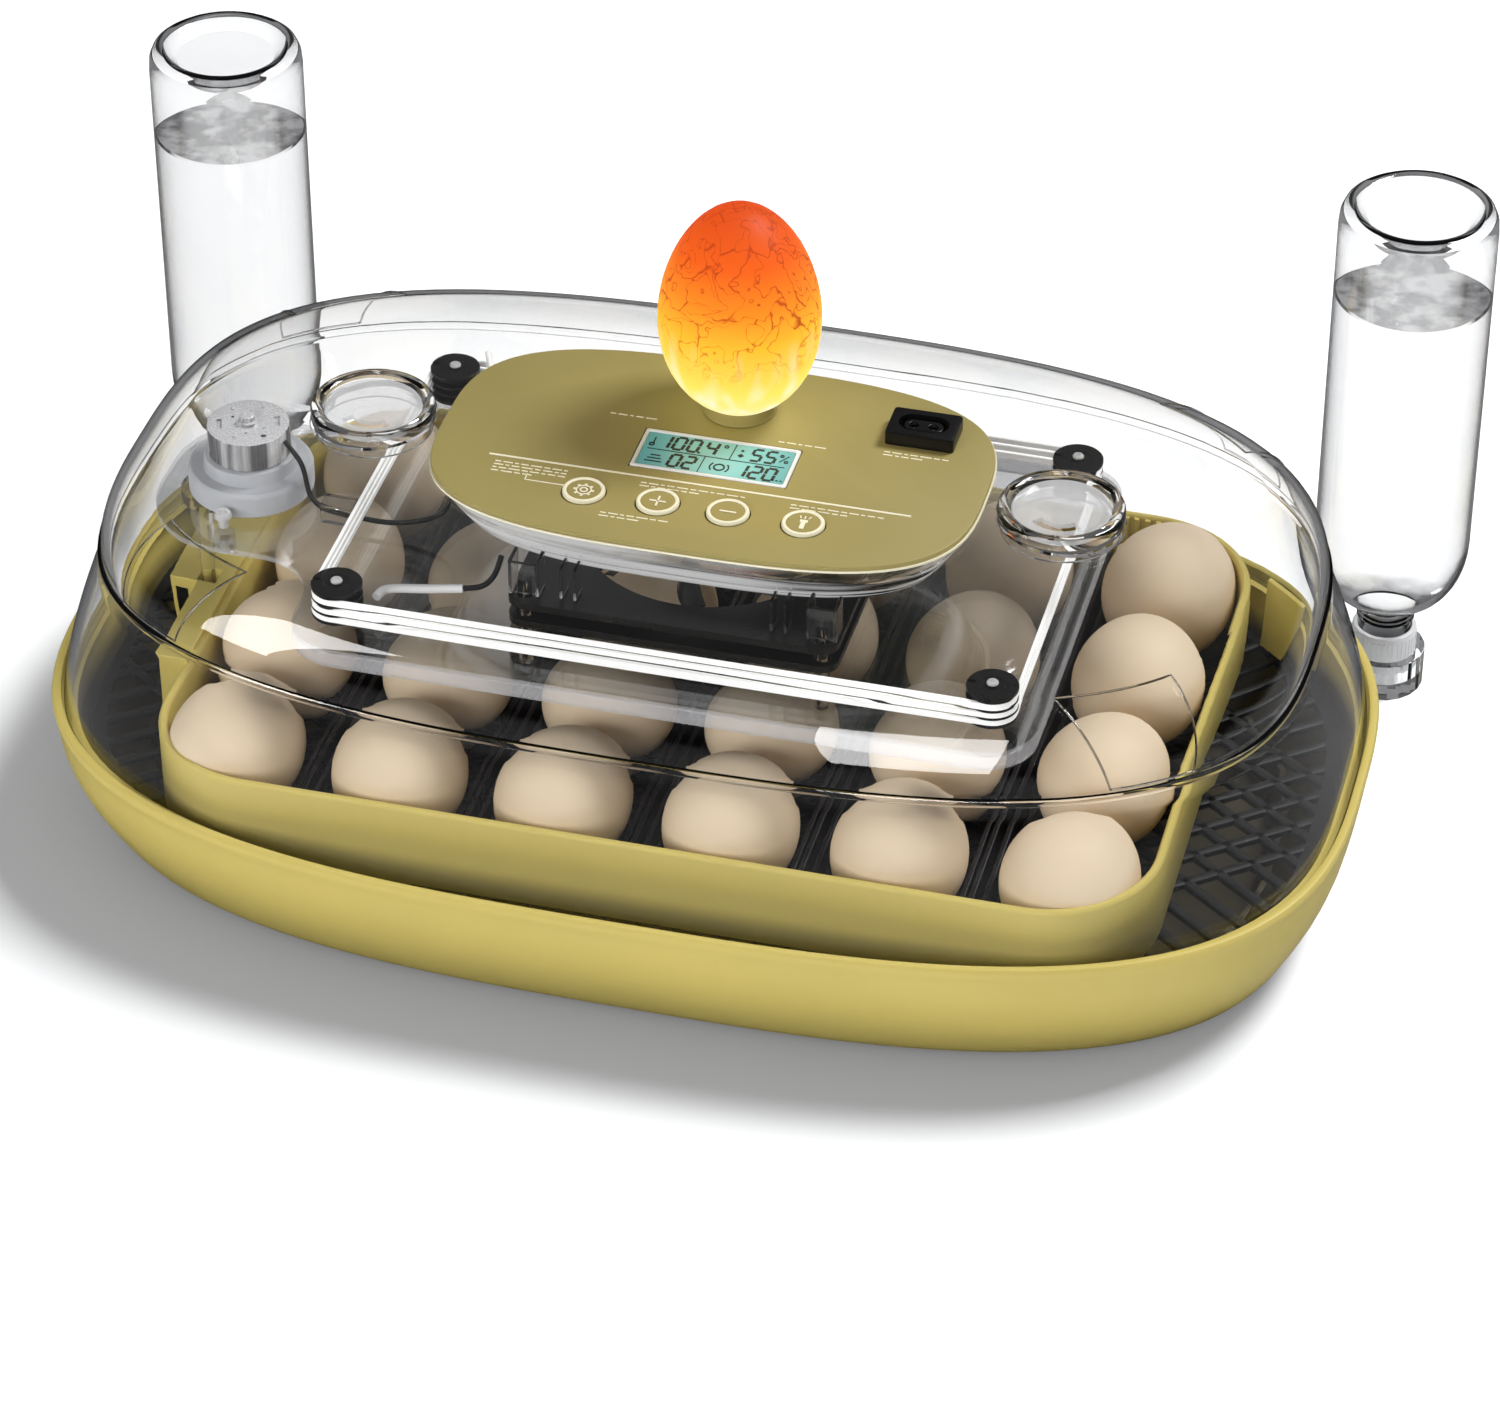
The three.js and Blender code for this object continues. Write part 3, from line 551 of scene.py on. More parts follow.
def vent_dish():
    """Milky clear plastic: part white, part see-through."""
    material, tree = new_tree("vent_white")
    cloud = noise(tree, place_of(tree), 90.0)
    shell = principled(tree, linear(226, 227, 228), ranged(tree, cloud, 0.3, 0.7, 0.08, 0.2))
    share = ranged(tree, cloud, 0.3, 0.7, 0.38, 0.5)
    finished(tree, blend(tree, share, see_through(tree, (0.93, 0.93, 0.93, 1)), shell))
    return material


def lit_screen():
    """Teal liquid-crystal glass, a little brighter in the middle."""
    material, tree = new_tree("display_teal")
    place = place_of(tree)
    offset = vectors(tree, "SUBTRACT", place, middle("lcd_screen") * MM)
    reach = vectors(tree, "LENGTH", offset, output="Value")
    reach = ranged(tree, reach, 0.0, 0.028, 0.0, 1.0)
    colour = mixed(tree, reach, linear(146, 206, 203), linear(84, 152, 156))
    gloss = ranged(tree, noise(tree, place, 2500.0), 0.3, 0.7, 0.18, 0.28)
    glow = {"Emission Color": colour, "Emission Strength": 0.22}
    finished(tree, principled(tree, colour, gloss, **glow))
    return material


def candled_shell(low, high):
    """Eggshell lit from below: pale yellow at the lamp, orange above, with faint branching veins."""
    material, tree = new_tree("candled_shell")
    place = place_of(tree)
    rise = ranged(tree, height_of(tree, place), low * MM, high * MM, 0.0, 1.0)
    stops = [(0.0, (255, 250, 190)), (0.24, (255, 236, 104)), (0.5, (255, 194, 46)),
             (0.66, (250, 140, 28)), (0.83, (232, 86, 18)), (1.0, (206, 56, 12))]
    colour = ramped(tree, rise, [(position, linear(*shade)) for position, shade in stops])
    warp = put(tree, "TexNoise", {"Vector": place, "Scale": 60.0, "Detail": 3.0}).outputs["Color"]
    bent = put(tree, "VectorMath", {0: warp, 1: place, 2: place}, operation="MULTIPLY_ADD").outputs[0]
    cells = put(tree, "TexVoronoi", {"Vector": bent, "Scale": 48.0}, feature="DISTANCE_TO_EDGE")
    vein = ranged(tree, cells.outputs["Distance"], 0.0, 0.04, 0.9, 0.0)
    vein = sums(tree, "MULTIPLY", vein, ranged(tree, rise, 0.3, 0.55, 0.0, 1.0))
    colour = mixed(tree, vein, colour, linear(160, 26, 6))
    # the pale upright streaks and the shell's glow are painted light from the lamp below
    upright = vectors(tree, "MULTIPLY", place, (1.0, 1.0, 0.16))
    ray = ranged(tree, noise(tree, upright, 150.0, 1.0), 0.46, 0.66, 0.0, 1.0)
    ray = sums(tree, "MULTIPLY", ray, ranged(tree, rise, 0.1, 0.52, 0.9, 0.0))
    colour = mixed(tree, ray, colour, linear(255, 252, 214))
    glow = {"Specular IOR Level": 0.15, "Emission Color": colour, "Emission Strength": 1.0}
    finished(tree, principled(tree, linear(120, 60, 20), 0.5, **glow))
    return material


MATT = {"Specular IOR Level": 0.22}
SATIN = {"Specular IOR Level": 0.35}
# painted light: a faint white glow that keeps the white wires bright, though they are no lamp
PAINTED_GLOW = {"Emission Color": (1, 1, 1, 1), "Emission Strength": 0.14}
OLIVE = linear(200, 182, 100)
SMOOTH = {"roughness": 0.36, "relief": 0.02, "drift": 0.025}
EGG_REST = span("candler_cup")[1].z - 3.5       # foot and length of the egg on the lamp
BIG_EGG = 74.0
LOOKS = {
    "olive_shell": moulded("olive_plastic", OLIVE, **SMOOTH),
    "tub_shell": tub_with_painted_shade(moulded("tub_plastic", OLIVE, **SMOOTH)),
    "yoke_shell": yoke_with_painted_shade(moulded("yoke_plastic", OLIVE, **SMOOTH)),
    "tray_shell": moulded("tray_plastic", linear(66, 58, 34), 0.5, edge=0.0),
    "panel_olive": moulded("panel_olive", linear(156, 143, 86), 0.5, 2600, 0.03, 0.03, 0.05),
    "black_plastic": moulded("black_plastic", linear(17, 17, 18), 0.3, edge=0.02, **SATIN),
    "mat_black": moulded("mat_rubber", linear(20, 21, 22), 0.5, relief=0.2, edge=0.02, **MATT),
    "clear_plastic": clear("clear_plastic", (0.994, 0.995, 0.996, 1), depth=0.3),
    # grip ridges: a grey tint and deep edge darkening, painted shade that draws them as dark lines
    "ridge_clear": clear("ridge_clear", (0.8, 0.8, 0.8, 1), depth=0.1, wave=0.0),
    "baffle_clear": thin_sheet("smoked_plate", (0.93, 0.932, 0.936, 1)),
    "bottle_clear": clear("bottle_clear", (0.966, 0.967, 0.969, 1), wave=0.12, depth=0.66, start=0.72),
    "water": with_painted_water_sheen(clear("water", (0.992, 0.993, 0.994, 1), 1.2, wave=0.1, depth=0.75, start=0.7)),
    "housing_clear": with_painted_reflection_bands(clear("housing_clear", (0.99, 0.99, 0.99, 1), depth=0.3)),
    "white_plastic": moulded("white_plastic", linear(236, 236, 236), 0.42, edge=0.0),
    "cap_white": moulded("cap_white", linear(224, 225, 226), 0.42, edge=0.0),
    "vent_white": vent_dish(),
    "grey_plastic": moulded("grey_plastic", linear(184, 186, 190), 0.5),
    "motor_steel": steel_with_painted_streaks(),
    "bright_metal": moulded("bright_metal", linear(228, 228, 228), 0.25, metallic=0.4, edge=0.0),
    "display": lit_screen(),
    "ink_dark": moulded("display_ink", linear(22, 34, 38), 0.4, edge=0.0),
    "print_pale": moulded("pale_print", linear(240, 234, 206), 0.55, edge=0.0),
    "lamp_lens": moulded("lamp_lens", linear(255, 243, 205), 0.2, edge=0.0),
    "board_green": moulded("board_green", linear(34, 70, 48), 0.45, edge=0.0),
    "wire_white": moulded("wire_white", linear(252, 252, 250), 0.5, edge=0.0, drift=0.01, **PAINTED_GLOW),
    "cable_black": moulded("cable_black", linear(20, 20, 21), 0.42, edge=0.0),
    "eggshell": moulded("eggshell", linear(229, 209, 180), 0.6, 900, 0.1, 0.03, 0.0, **MATT),
    "candled": candled_shell(EGG_REST, EGG_REST + BIG_EGG),
}


# ---------------------------------------------------------------- base
def tub_ring(z, inset=0.0, wall_height=None):
    """A ring on the tub's wall, which bulges from the underside to the rim."""
    bulge = sin(pi / 2 * min(1.0, (z if wall_height is None else wall_height) / LEDGE))
    x = UNDERSIDE.x + (RIM.x - 0.8 - UNDERSIDE.x) * bulge - inset
    y = UNDERSIDE.y + (RIM.y - 0.8 - UNDERSIDE.y) * bulge - inset
    return oval(x, y, z)


def rim_ring(inset, z):
    return oval(RIM.x - inset, RIM.y - inset, z)


def base_tub():
    top = RIM.z
    lip = ((0, 1.8), (0.2, 0.7), (0.6, 0.15), (1.1, 0), (WALL - 0.7, 0), (WALL - 0.1, 0.4), (WALL, 1))
    rings = [tub_ring(0, 4.5), tub_ring(0.3, 2.6), tub_ring(1.2, 1.0), tub_ring(2.6, 0.25)]
    rings += [tub_ring(z) for z in (5, 8, 12, 16, 21, 26, 31, 36, 41, 44)]
    rings += [rim_ring(0.45, LEDGE), rim_ring(0.1, LEDGE + 1.4)]
    rings += [rim_ring(inset, top - down) for inset, down in lip]
    rings += [rim_ring(WALL, LEDGE), tub_ring(LEDGE, 7), tub_ring(LEDGE - 1, 6)]
    rings += [tub_ring(z, WALL) for z in (LEDGE - 4, 34, 24, 14, 8)]
    rings += [tub_ring(4.4, 5, 0), tub_ring(WALL, 9, 0)]
    piece("base_tub_shell", Shape().loft(rings), "tub_shell", "base", "base_tub")


def oval_reach(x, y, power, px, py, dx, dy):
    """How far a ray from a point inside an oval runs before it leaves the oval."""
    near, far = 0.0, 3 * (x + y)
    for _ in range(30):
        mid = (near + far) / 2
        value = abs((px + dx * mid) / x) ** power + abs((py + dy * mid) / y) ** power
        near, far = (mid, far) if value < 1 else (near, mid)
    return near


LATTICE_SLOPE = radians(38)


def lattice_mat():
    """Black mat of crossing diagonal ribs inside an oval border."""
    pitch, rib, border = 11.4, 1.55, 4.5
    x, y, top = MAT.x, MAT.y, MAT.z
    low = top - 2.6
    shape = Shape()
    edge = ((0, low), (0, top - 0.5), (0.5, top), (border, top), (border, low))
    shape.loft([oval(x - inset, y - inset, z) for inset, z in edge], closed=True)
    for slope in (LATTICE_SLOPE, -LATTICE_SLOPE):
        dx, dy = cos(slope), sin(slope)
        for k in range(-30, 31):
            px, py = -dy * pitch * k, dx * pitch * k
            if abs(px / x) ** OVAL + abs(py / y) ** OVAL > 0.96:
                continue
            ahead = oval_reach(x - 2, y - 2, OVAL, px, py, dx, dy)
            behind = oval_reach(x - 2, y - 2, OVAL, px, py, -dx, -dy)
            path = [(px - dx * behind, py - dy * behind, 0), (px + dx * ahead, py + dy * ahead, 0)]
            section = [(-rib, low + 0.3), (rib, low + 0.3), (rib, top - 0.4), (rib - 0.5, top - 0.1),
                       (0.5 - rib, top - 0.1), (-rib, top - 0.4)]
            shape.sweep(path, section)
    piece("floor_mat_lattice", shape, "mat_black", "base", "floor_mat")


# ---------------------------------------------------------------- egg frame
FRAME_CORNER, FRAME_BOTTOM, FRAME_TOP = 38.0, 34.0, 64.0
RIBS, RIB_START, RIB_PITCH, RIB_WIDE = 6, 56.0, 3.6, 1.6


def egg_frame():
    low, half = span("egg_frame")
    top = FRAME_TOP
    edge = ((0.4, FRAME_BOTTOM), (0, FRAME_BOTTOM + 0.6),
            (0, top - 1.4), (0.3, top - 0.5), (0.9, top - 0.05),
            (WALL - 0.9, top - 0.05), (WALL - 0.3, top - 0.5), (WALL, top - 1.4), (WALL, FRAME_BOTTOM))
    rings = []
    for inset, z in edge:
        outline = rounded(half.x - inset, half.y - inset, FRAME_CORNER - inset, steps=14)
        rings.append(at(outline, z))
    shell = Shape().loft(rings, closed=True)
    inside = half.y - WALL
    for i in range(RIBS):
        x = half.x - RIB_START + i * RIB_PITCH
        shell.block(x, x + RIB_WIDE, inside - 1.2, inside + 0.5, FRAME_BOTTOM + 6, top - 1)
    piece("egg_frame_shell", shell, "olive_shell", "turner", "egg_frame")
    yoke(low.x, 1 - half.x)


def yoke(left, right):
    """The hood with its front window and the ledge that the crank pin drops into."""
    shelf, low, high = -174.0, 42.0, 66.0
    outline = [(right, -50), (right, 50), (shelf, 50), (shelf, 40), (left, 40), (left, -11.5)]
    outline += [(shelf, -11.5), (shelf, -50)]
    window = Shape().block(*(value for pair in zip(*YOKE_WINDOW) for value in pair))
    crank = middle("turner_crank")
    slot = Shape().block(crank.x - 3.3, crank.x + 3.3, -10.8, -2.3, 50, 70)
    body = cut("turner_yoke", Shape().slab(outline, low, high), window, slot)
    piece("turner_yoke", body, "yoke_shell", "turner", bevel=0.7)


def divider_rails():
    """Black rails between the egg columns, tied by low slats."""
    shape = Shape()
    low, reach, top = FRAME_LOW, 102.5, 51.0
    for column in range(-2, 3):
        x = column * EGG_WIDE
        for offset, rise in ((-5.6, -3.0), (-2.1, 0.0), (2.1, 0.0), (5.6, -3.0)):
            shape.block(x + offset - 0.9, x + offset + 0.9, -reach, reach, low, top + rise)
        for k in range(-8, 9):
            shape.block(x - 6.2, x + 6.2, k * 12.5 - 1.2, k * 12.5 + 1.2, low + 1, low + 8)
    for y in (-EGG_LONG, 0, EGG_LONG):
        shape.block(-159, 159, y - 1.5, y + 1.5, low, low + 3)
    piece("divider_rails", shape, "black_plastic", "turner", "divider_grid", bevel=0.35)


# ---------------------------------------------------------------- water bottles
HUB = 0.02                  # radius at which a turned shape is closed in its centre
WATER_LEVEL = 157.5
CAP_RIBS = 40


def bottle(side):
    foot, high, spot, radius = measures(f"bottle_{side}")
    top, neck, wall, body = high.z, 8.9, 1.2, f"{side}_bottle"
    hip, bend = 60.0, 24.0

    def shoulder(inset):
        turns = [pi / 2 * i / 10 for i in range(11)]
        reach = radius - neck - 1
        return [(neck + 1 + reach * sin(a) - inset, hip + inset - bend * cos(a)) for a in turns]

    outer = [(neck, foot.z), (neck, 27)]
    for turn in range(3):
        z = 27.4 + turn * 1.9
        outer += [(neck, z), (neck + 0.9, z + 0.5), (neck + 0.9, z + 0.9), (neck, z + 1.4)]
    outer += [(neck + 0.1, 34)] + shoulder(0)
    outer += from_edge(radius, top, (0, -8), (0.3, -4), (1.4, -1.4), (3.2, -0.2))
    outer += from_edge(radius, top, (4.6, 0), (6.4, -0.8), (8, -3), (9.5, -4.4)) + [(HUB, top - 5)]
    inner = [(HUB, top - 6.2)]
    inner += from_edge(radius, top, (9, -5.8), (6.6, -4), (4.6, -2), (2.6, -3.4), (wall, -8))
    inner += shoulder(wall)[::-1]
    inner += [(neck - wall, 34), (neck - wall, foot.z)]
    shell = Shape().lathe(outer + inner + [outer[0]], spot)
    piece(f"bottle_{side}_shell", shell, "bottle_clear", body, f"bottle_{side}")
    inset = wall + 0.05
    fill = [(neck - inset, foot.z + 1), (neck - inset, 34)] + shoulder(inset)
    fill += [(radius - inset, WATER_LEVEL - 0.6), (radius - inset - 0.8, WATER_LEVEL)]
    prop(f"water_{side}", Shape().lathe(fill, spot), "water", body)
    bottle_cap(side, neck)


def bottle_cap(side, neck):
    low, high, spot, r = measures(f"bottle_cap_{side}")
    profile = [(2, low.z)] + from_edge(r, low.z, (1, 0), (0.3, 0.3), (0, 1))
    profile += from_edge(r, high.z, (0, -0.8), (0.3, -0.2), (0.8, 0))
    profile += [(neck + 0.5, high.z), (neck + 0.5, low.z + 3), (2, low.z + 3), (2, low.z)]
    cap = Shape().lathe(profile, spot)
    for i in range(CAP_RIBS):
        a = 2 * pi * i / CAP_RIBS
        rib = Shape().block(r - 0.4, r + 0.25, -0.35, 0.35, low.z + 2, high.z - 2)
        rib.moved(Matrix.Translation((spot.x, spot.y, 0)) @ Matrix.Rotation(a, 4, "Z"))
        rib.mesh.to_mesh(SCRATCH)
        rib.mesh.free()
        cap.mesh.from_mesh(SCRATCH)
    piece(f"bottle_cap_{side}_ribbed", cap, "cap_white", f"{side}_cap", f"bottle_cap_{side}")


# ---------------------------------------------------------------- clear lid
def plate_hole(spot, radius, low, high, count=48):
    """A round rod to cut a hole with."""
    return Shape().lathe([(radius, low), (radius, high)], spot, count)


BEAD = ((0, 3.3), (0.55, 3.05), (0.95, 2.6), (1, 2.1), (1, 1.2), (0.95, 0.7), (0.55, 0.25), (0, 0))


def lid_sections(inset, bead=0.0):
    """Half sizes, height and exponent of the lid's rings, from its foot past the crease to the opening."""
    foot = Vector((LID_TOP.x, LID_TOP.y, LID_FOOT.z))
    rings = []
    steps = 12
    for i in range(steps + 1):
        t = i / steps
        lean = t ** 1.4
        z = foot.z + t * (CREASE.z - 3.6 - foot.z)
        inward = (CREASE - foot) * lean
        rings.append((foot.x + inward.x - inset, foot.y + inward.y - inset, z, OVAL))
    for share, down in BEAD:
        out = bead * share - inset
        rings.append((CREASE.x + out, CREASE.y + out, CREASE.z - down, OVAL))
    turns = 12
    for i in range(1, turns + 1):
        a = radians(78) * i / turns
        inward = SHOULDER * (1 - cos(a)) + inset * cos(a)
        rise = (SHOULDER - inset) * sin(a)
        rings.append((CREASE.x - inward, CREASE.y - inward, CREASE.z + rise, OVAL))
    last = rings[-1]
    crown = 10
    for i in range(1, crown + 1):
        t = i / crown
        z = last[2] + (CROWN - inset - last[2]) * sin(pi / 2 * t)
        x = last[0] + (PANEL.x - 1.6 - last[0]) * t
        y = last[1] + (PANEL.y - 1.6 - last[1]) * t
        rings.append((x, y, z, OVAL + (PANEL_OVAL - OVAL) * t))
    return rings


def lid_point(sections, place, turn):
    """A point on the lid's outside: place counts the sections, turn is the angle round the oval."""
    k = int(place)
    t = place - k
    one, two = sections[k], sections[min(k + 1, len(sections) - 1)]
    x, y, z, power = (a + (b - a) * t for a, b in zip(one, two))
    return Vector(oval_point(x, y, z, power, turn))


def grip_outline(sections, corner):
    """The ridge round a finger grip in the lid's shoulder, for corner number 0 to 3."""
    sign = -1 if corner in (1, 3) else 1
    mid = radians(90 * corner + (42.4 if sign > 0 else 47.6))
    crease, top = 20.4, 31.7
    corners = [(crease, -4.6), (top, -7.2), (top, 7.2), (crease, 4.6), (crease, -4.6)]
    path = []
    for (p0, d0), (p1, d1) in zip(corners, corners[1:]):
        for i in range(12):
            t = i / 12
            path.append(lid_point(sections, p0 + (p1 - p0) * t, mid + radians(d0 + (d1 - d0) * t)))
    return path + path[:1]


def dome_cover():
    outer, inner = lid_sections(0, 1.0), lid_sections(LID_WALL)
    rings = [oval(*section) for section in outer + inner[::-1]]
    shell = Shape().loft(rings, closed=True)
    sockets = []
    for side in ("left", "right"):
        ring = f"vent_ring_{side}"
        sockets.append(plate_hole(middle(ring), half_width(ring) + 0.4, 120, 150, 72))
    cover = cut("dome_cover_shell", shell, *sockets)
    piece("dome_cover_shell", cover, "clear_plastic", "lid", "dome_cover")
    ridges = Shape()
    for corner in range(4):
        ridges.tube(grip_outline(outer, corner), 0.38, 8)
    piece("grip_ridges", ridges, "ridge_clear", "lid")


def vent(side):
    low, high, centre, r = measures(f"vent_ring_{side}")
    foot, top = low.z, high.z
    profile = from_edge(r, foot, (2.4, 0), (0.9, 0), (0.8, 4.4), (0.1, 5), (0, 5.6))
    profile += from_edge(r, top, (0, -1.6), (0.5, -0.5), (1.5, 0), (2.8, -0.1), (3.7, -0.8), (4, -1.8))
    profile += from_edge(r, foot, (4, 4.6), (2.4, 4), (2.4, 0))
    ring = Shape().lathe(profile, centre, 72)
    piece(f"vent_ring_{side}_clear", ring, "clear_plastic", "lid", f"vent_ring_{side}")
    low, high = span(f"vent_dial_{side}")
    size = half_width(f"vent_dial_{side}")
    dish = [(size, low.z)]
    dish += from_edge(size, high.z, (0, -0.4), (0.4, 0), (1.2, -0.1), (2.4, -1), (3.4, -1.2))
    crescent = arc(centre.x, centre.y, 11.2, -135, -45, 16) + arc(centre.x, centre.y, 7.4, -45, -135, 16)
    dial = cut(f"vent_dial_{side}_dish", Shape().lathe(dish, centre, 72),
               Shape().slab(crescent, low.z - 1, high.z + 1))
    piece(f"vent_dial_{side}_dish", dial, "vent_white", f"{side}_vent", f"vent_dial_{side}")


# ---------------------------------------------------------------- control unit
def control_housing():
    top, depth, wall = span("control_housing")[1].z, 21.0, 1.8
    mouth = Vector((PANEL.x - 2.2, PANEL.y - 2.2))

    def ring(down, inward, inset=0.0):
        return oval(mouth.x - inward - inset, mouth.y - inward - inset, top - down, PANEL_OVAL, 120)

    outer = [ring(depth, 15), ring(depth - 0.3, 12.4), ring(depth - 1.4, 10.2), ring(depth - 3, 8.4)]
    outer += [ring(depth - 6, 6), ring(depth - 9, 4.2), ring(10.6, 4.0)]
    outer += [ring(9.6, 2.6), ring(5, 1.0), ring(0, 0)]
    inner = [ring(0, wall), ring(5, 1.0, wall), ring(9.6, 2.6, wall), ring(depth - 9, 4.4, wall)]
    inner += [ring(depth - 6, 6.2, wall), ring(depth - 3.4, 8.6, wall), ring(depth - wall, 13, wall)]
    shell = Shape().loft(outer + inner)
    piece("control_housing_bowl", shell, "housing_clear", "lid", "control_housing")


def panel_ring(inset, z):
    return oval(PANEL.x - inset, PANEL.y - inset, z, PANEL_OVAL, 140)


def control_panel():
    low, high = span("control_panel")
    edge = [(0.5, low.z), (0.0, low.z + 0.4), (0.0, high.z - 0.7), (0.2, high.z - 0.2), (0.7, high.z)]
    rings = [panel_ring(inset, z) for inset, z in edge]
    below, above = low.z - 3, high.z + 3
    tools = []
    for name in BUTTONS:
        button_node = f"button_{name}"
        tools.append(plate_hole(middle(button_node), half_width(button_node) + 0.4, below, above))
    for node, shrink in (("lcd_bezel", -0.4), ("power_inlet", 1.5)):
        a, b = span(node)
        sides = (a.x + shrink, b.x - shrink, a.y + shrink, b.y - shrink)
        tools.append(Shape().block(*sides, below, above))
    tools.append(plate_hole(middle("candler_cup"), 6.6, below, above))
    plate = cut("control_panel_plate", Shape().loft(rings), *tools)
    piece("control_panel_plate", plate, "panel_olive", "lid", "control_panel")
    edge = ((0.9, -0.25), (-0.5, -0.2), (-0.5, 0.5), (0.9, 0.3))
    gasket = [panel_ring(inset, low.z + rise) for inset, rise in edge]
    piece("panel_edge_ring", Shape().loft(gasket, closed=True), "print_pale", "lid")


BUTTONS = ("set", "plus", "minus", "lamp")
INK = 0.18                  # thickness of a printed mark
FIGURE_THICK = 0.1          # and of a mark on the display
PRINT_PITCH = 1.7


def bar(shape, x, y, length, width, z, turn=0.0, thick=INK):
    """A flat bar centred on x, y and turned about it."""
    c, s = cos(turn), sin(turn)
    corners = box_outline(-length / 2, length / 2, -width / 2, width / 2)
    return shape.slab([(x + c * u - s * v, y + s * u + c * v) for u, v in corners], z, z + thick)


def ring_mark(shape, x, y, outer, inner, z, count=40):
    profile = [(inner, z), (outer, z), (outer, z + INK), (inner, z + INK), (inner, z)]
    return shape.lathe(profile, Vector((x, y)), count)


def print_block(shape, x, y, rows, width, z):
    """Rows of short dashes of mixed lengths: a stand-in for small print."""
    for row in range(rows):
        reach, k = 0.0, row
        limit = width * (1.0 if row < rows - 1 else 0.62)
        while reach < limit - 1:
            dash = (1.9, 3.1, 1.3, 2.5, 3.7)[k % 5]
            dash = min(dash, limit - reach)
            bar(shape, x + reach + dash / 2, y - row * PRINT_PITCH, dash, 0.42, z)
            reach += dash + 0.75
            k += 1


def panel_print():
    z = PANEL.z + 0.01
    marks = Shape()
    lines = ((0, -17.5, 138, 0.75), (-46, -28.6, 16, 0.35), (-54, -26.9, 0.35, 3.4), (36.6, -23, 0.35, 1.8))
    for x, y, length, width in lines:
        bar(marks, x, y, length, width, z)
    blocks = ((-66, -20.8, 4, 24), (-18, -20.8, 2, 34), (31, -20.8, 2, 30), (-26, -39.8, 2, 22),
              (-38, 14.6, 1, 27), (18.5, 12.2, 1, 27), (52.4, 15.4, 2, 21))
    for x, y, rows, width in blocks:
        print_block(marks, x, y, rows, width, z)
    piece("panel_print", marks, "print_pale", "lid")


def button(name):
    node, body = f"button_{name}", f"{name}_button"
    low, high, spot, r = measures(node)
    top = high.z
    cap = [(r - 0.1, low.z)]
    cap += from_edge(r, top, (0.1, -1.6), (0.4, -0.9), (1.3, -0.55), (2.4, -0.6), (4, -0.7))
    piece(f"{node}_cap", Shape().lathe(cap, spot, 56), "panel_olive", body, node)
    ring = from_edge(r, top, (1.4, -0.75), (0, -1.3), (0, -0.75), (0.35, -0.2), (0.9, -0.1), (1.4, -0.35))
    ring.append(ring[0])
    piece(f"{node}_ring", Shape().lathe(ring, spot, 56), "print_pale", body)
    marks, z = Shape(), top - 0.62
    if name == "set":
        ring_mark(marks, spot.x, spot.y, 1.35, 0.85, z)
        ring_mark(marks, spot.x, spot.y, 2.6, 2.15, z)
        for i in range(8):
            a = pi / 4 * i
            bar(marks, spot.x + 2.95 * cos(a), spot.y + 2.95 * sin(a), 0.8, 0.9, z, a)
    elif name == "lamp":
        bar(marks, spot.x, spot.y - 1.5, 1.5, 3.4, z)
        bar(marks, spot.x, spot.y + 0.9, 2.5, 1.3, z)
        for side in (-1, 0, 1):
            bar(marks, spot.x + side * 1.5, spot.y + 2.9, 0.4, 1.4, z, -0.4 * side)
    else:
        bar(marks, spot.x, spot.y, 5.4, 0.6, z)
        if name == "plus":
            bar(marks, spot.x, spot.y, 0.6, 5.4, z)
    piece(f"{node}_mark", marks, "print_pale", body)


SEGMENTS = {"0": "abcdef", "1": "bc", "2": "abged", "4": "fgbc", "5": "afgcd"}


def digit(shape, symbol, x, y, height, z):
    """A seven-segment figure with a slight slant, x and y at its lower left corner."""
    h, w, slant, thick = height / 2, height * 0.48, 0.1, height * 0.15
    places = {"a": (w / 2, 2 * h, 0), "g": (w / 2, h, 0), "d": (w / 2, 0, 0),
              "f": (0, 1.5 * h, 1), "b": (w, 1.5 * h, 1), "e": (0, 0.5 * h, 1), "c": (w, 0.5 * h, 1)}
    for segment in SEGMENTS[symbol]:
        u, v, upright = places[segment]
        length = (h if upright else w) - thick * 0.5
        turn = pi / 2 - slant if upright else 0.0
        bar(shape, x + u + slant * v, y + v, length, thick, z, turn, FIGURE_THICK)


def number(shape, text, x, y, height, z):
    for symbol in text:
        if symbol == ".":
            bar(shape, x - height * 0.1, y, height * 0.12, height * 0.12, z, 0, FIGURE_THICK)
            x += height * 0.14
        else:
            digit(shape, symbol, x, y, height, z)
            x += height * 0.72


# text, x, y and height; then x, y, length, width and turn; then x, y, outer and inner radius
DISPLAY_TEXT = (("100.4", -19.8, 1.5, 6.7), ("55", 10.6, 1.5, 6.4),
                ("02", -14.2, -8, 6.6), ("120", 7.6, -8, 6.6))
DISPLAY_BARS = [(0, 0.1, 45, 0.3, 0), (4.6, 4.6, 0.3, 8.6, -0.05), (-3.6, -4.6, 0.3, 8.6, -0.05),
                (-21.4, 4.9, 0.4, 3.4, 0), (7.4, 3.2, 1.5, 1.5, pi / 4), (7.4, 6, 0.9, 0.9, pi / 4),
                (21.4, 4.7, 4.4, 0.35, 1)]
DISPLAY_BARS += [(-19, 1.7 * i - 6.6, 5.6 - 1.2 * i, 0.5, 0) for i in range(3)]
DISPLAY_BARS += [(20.6 + 1.3 * i, -7.4, 0.8, 0.5, 0) for i in range(3)]
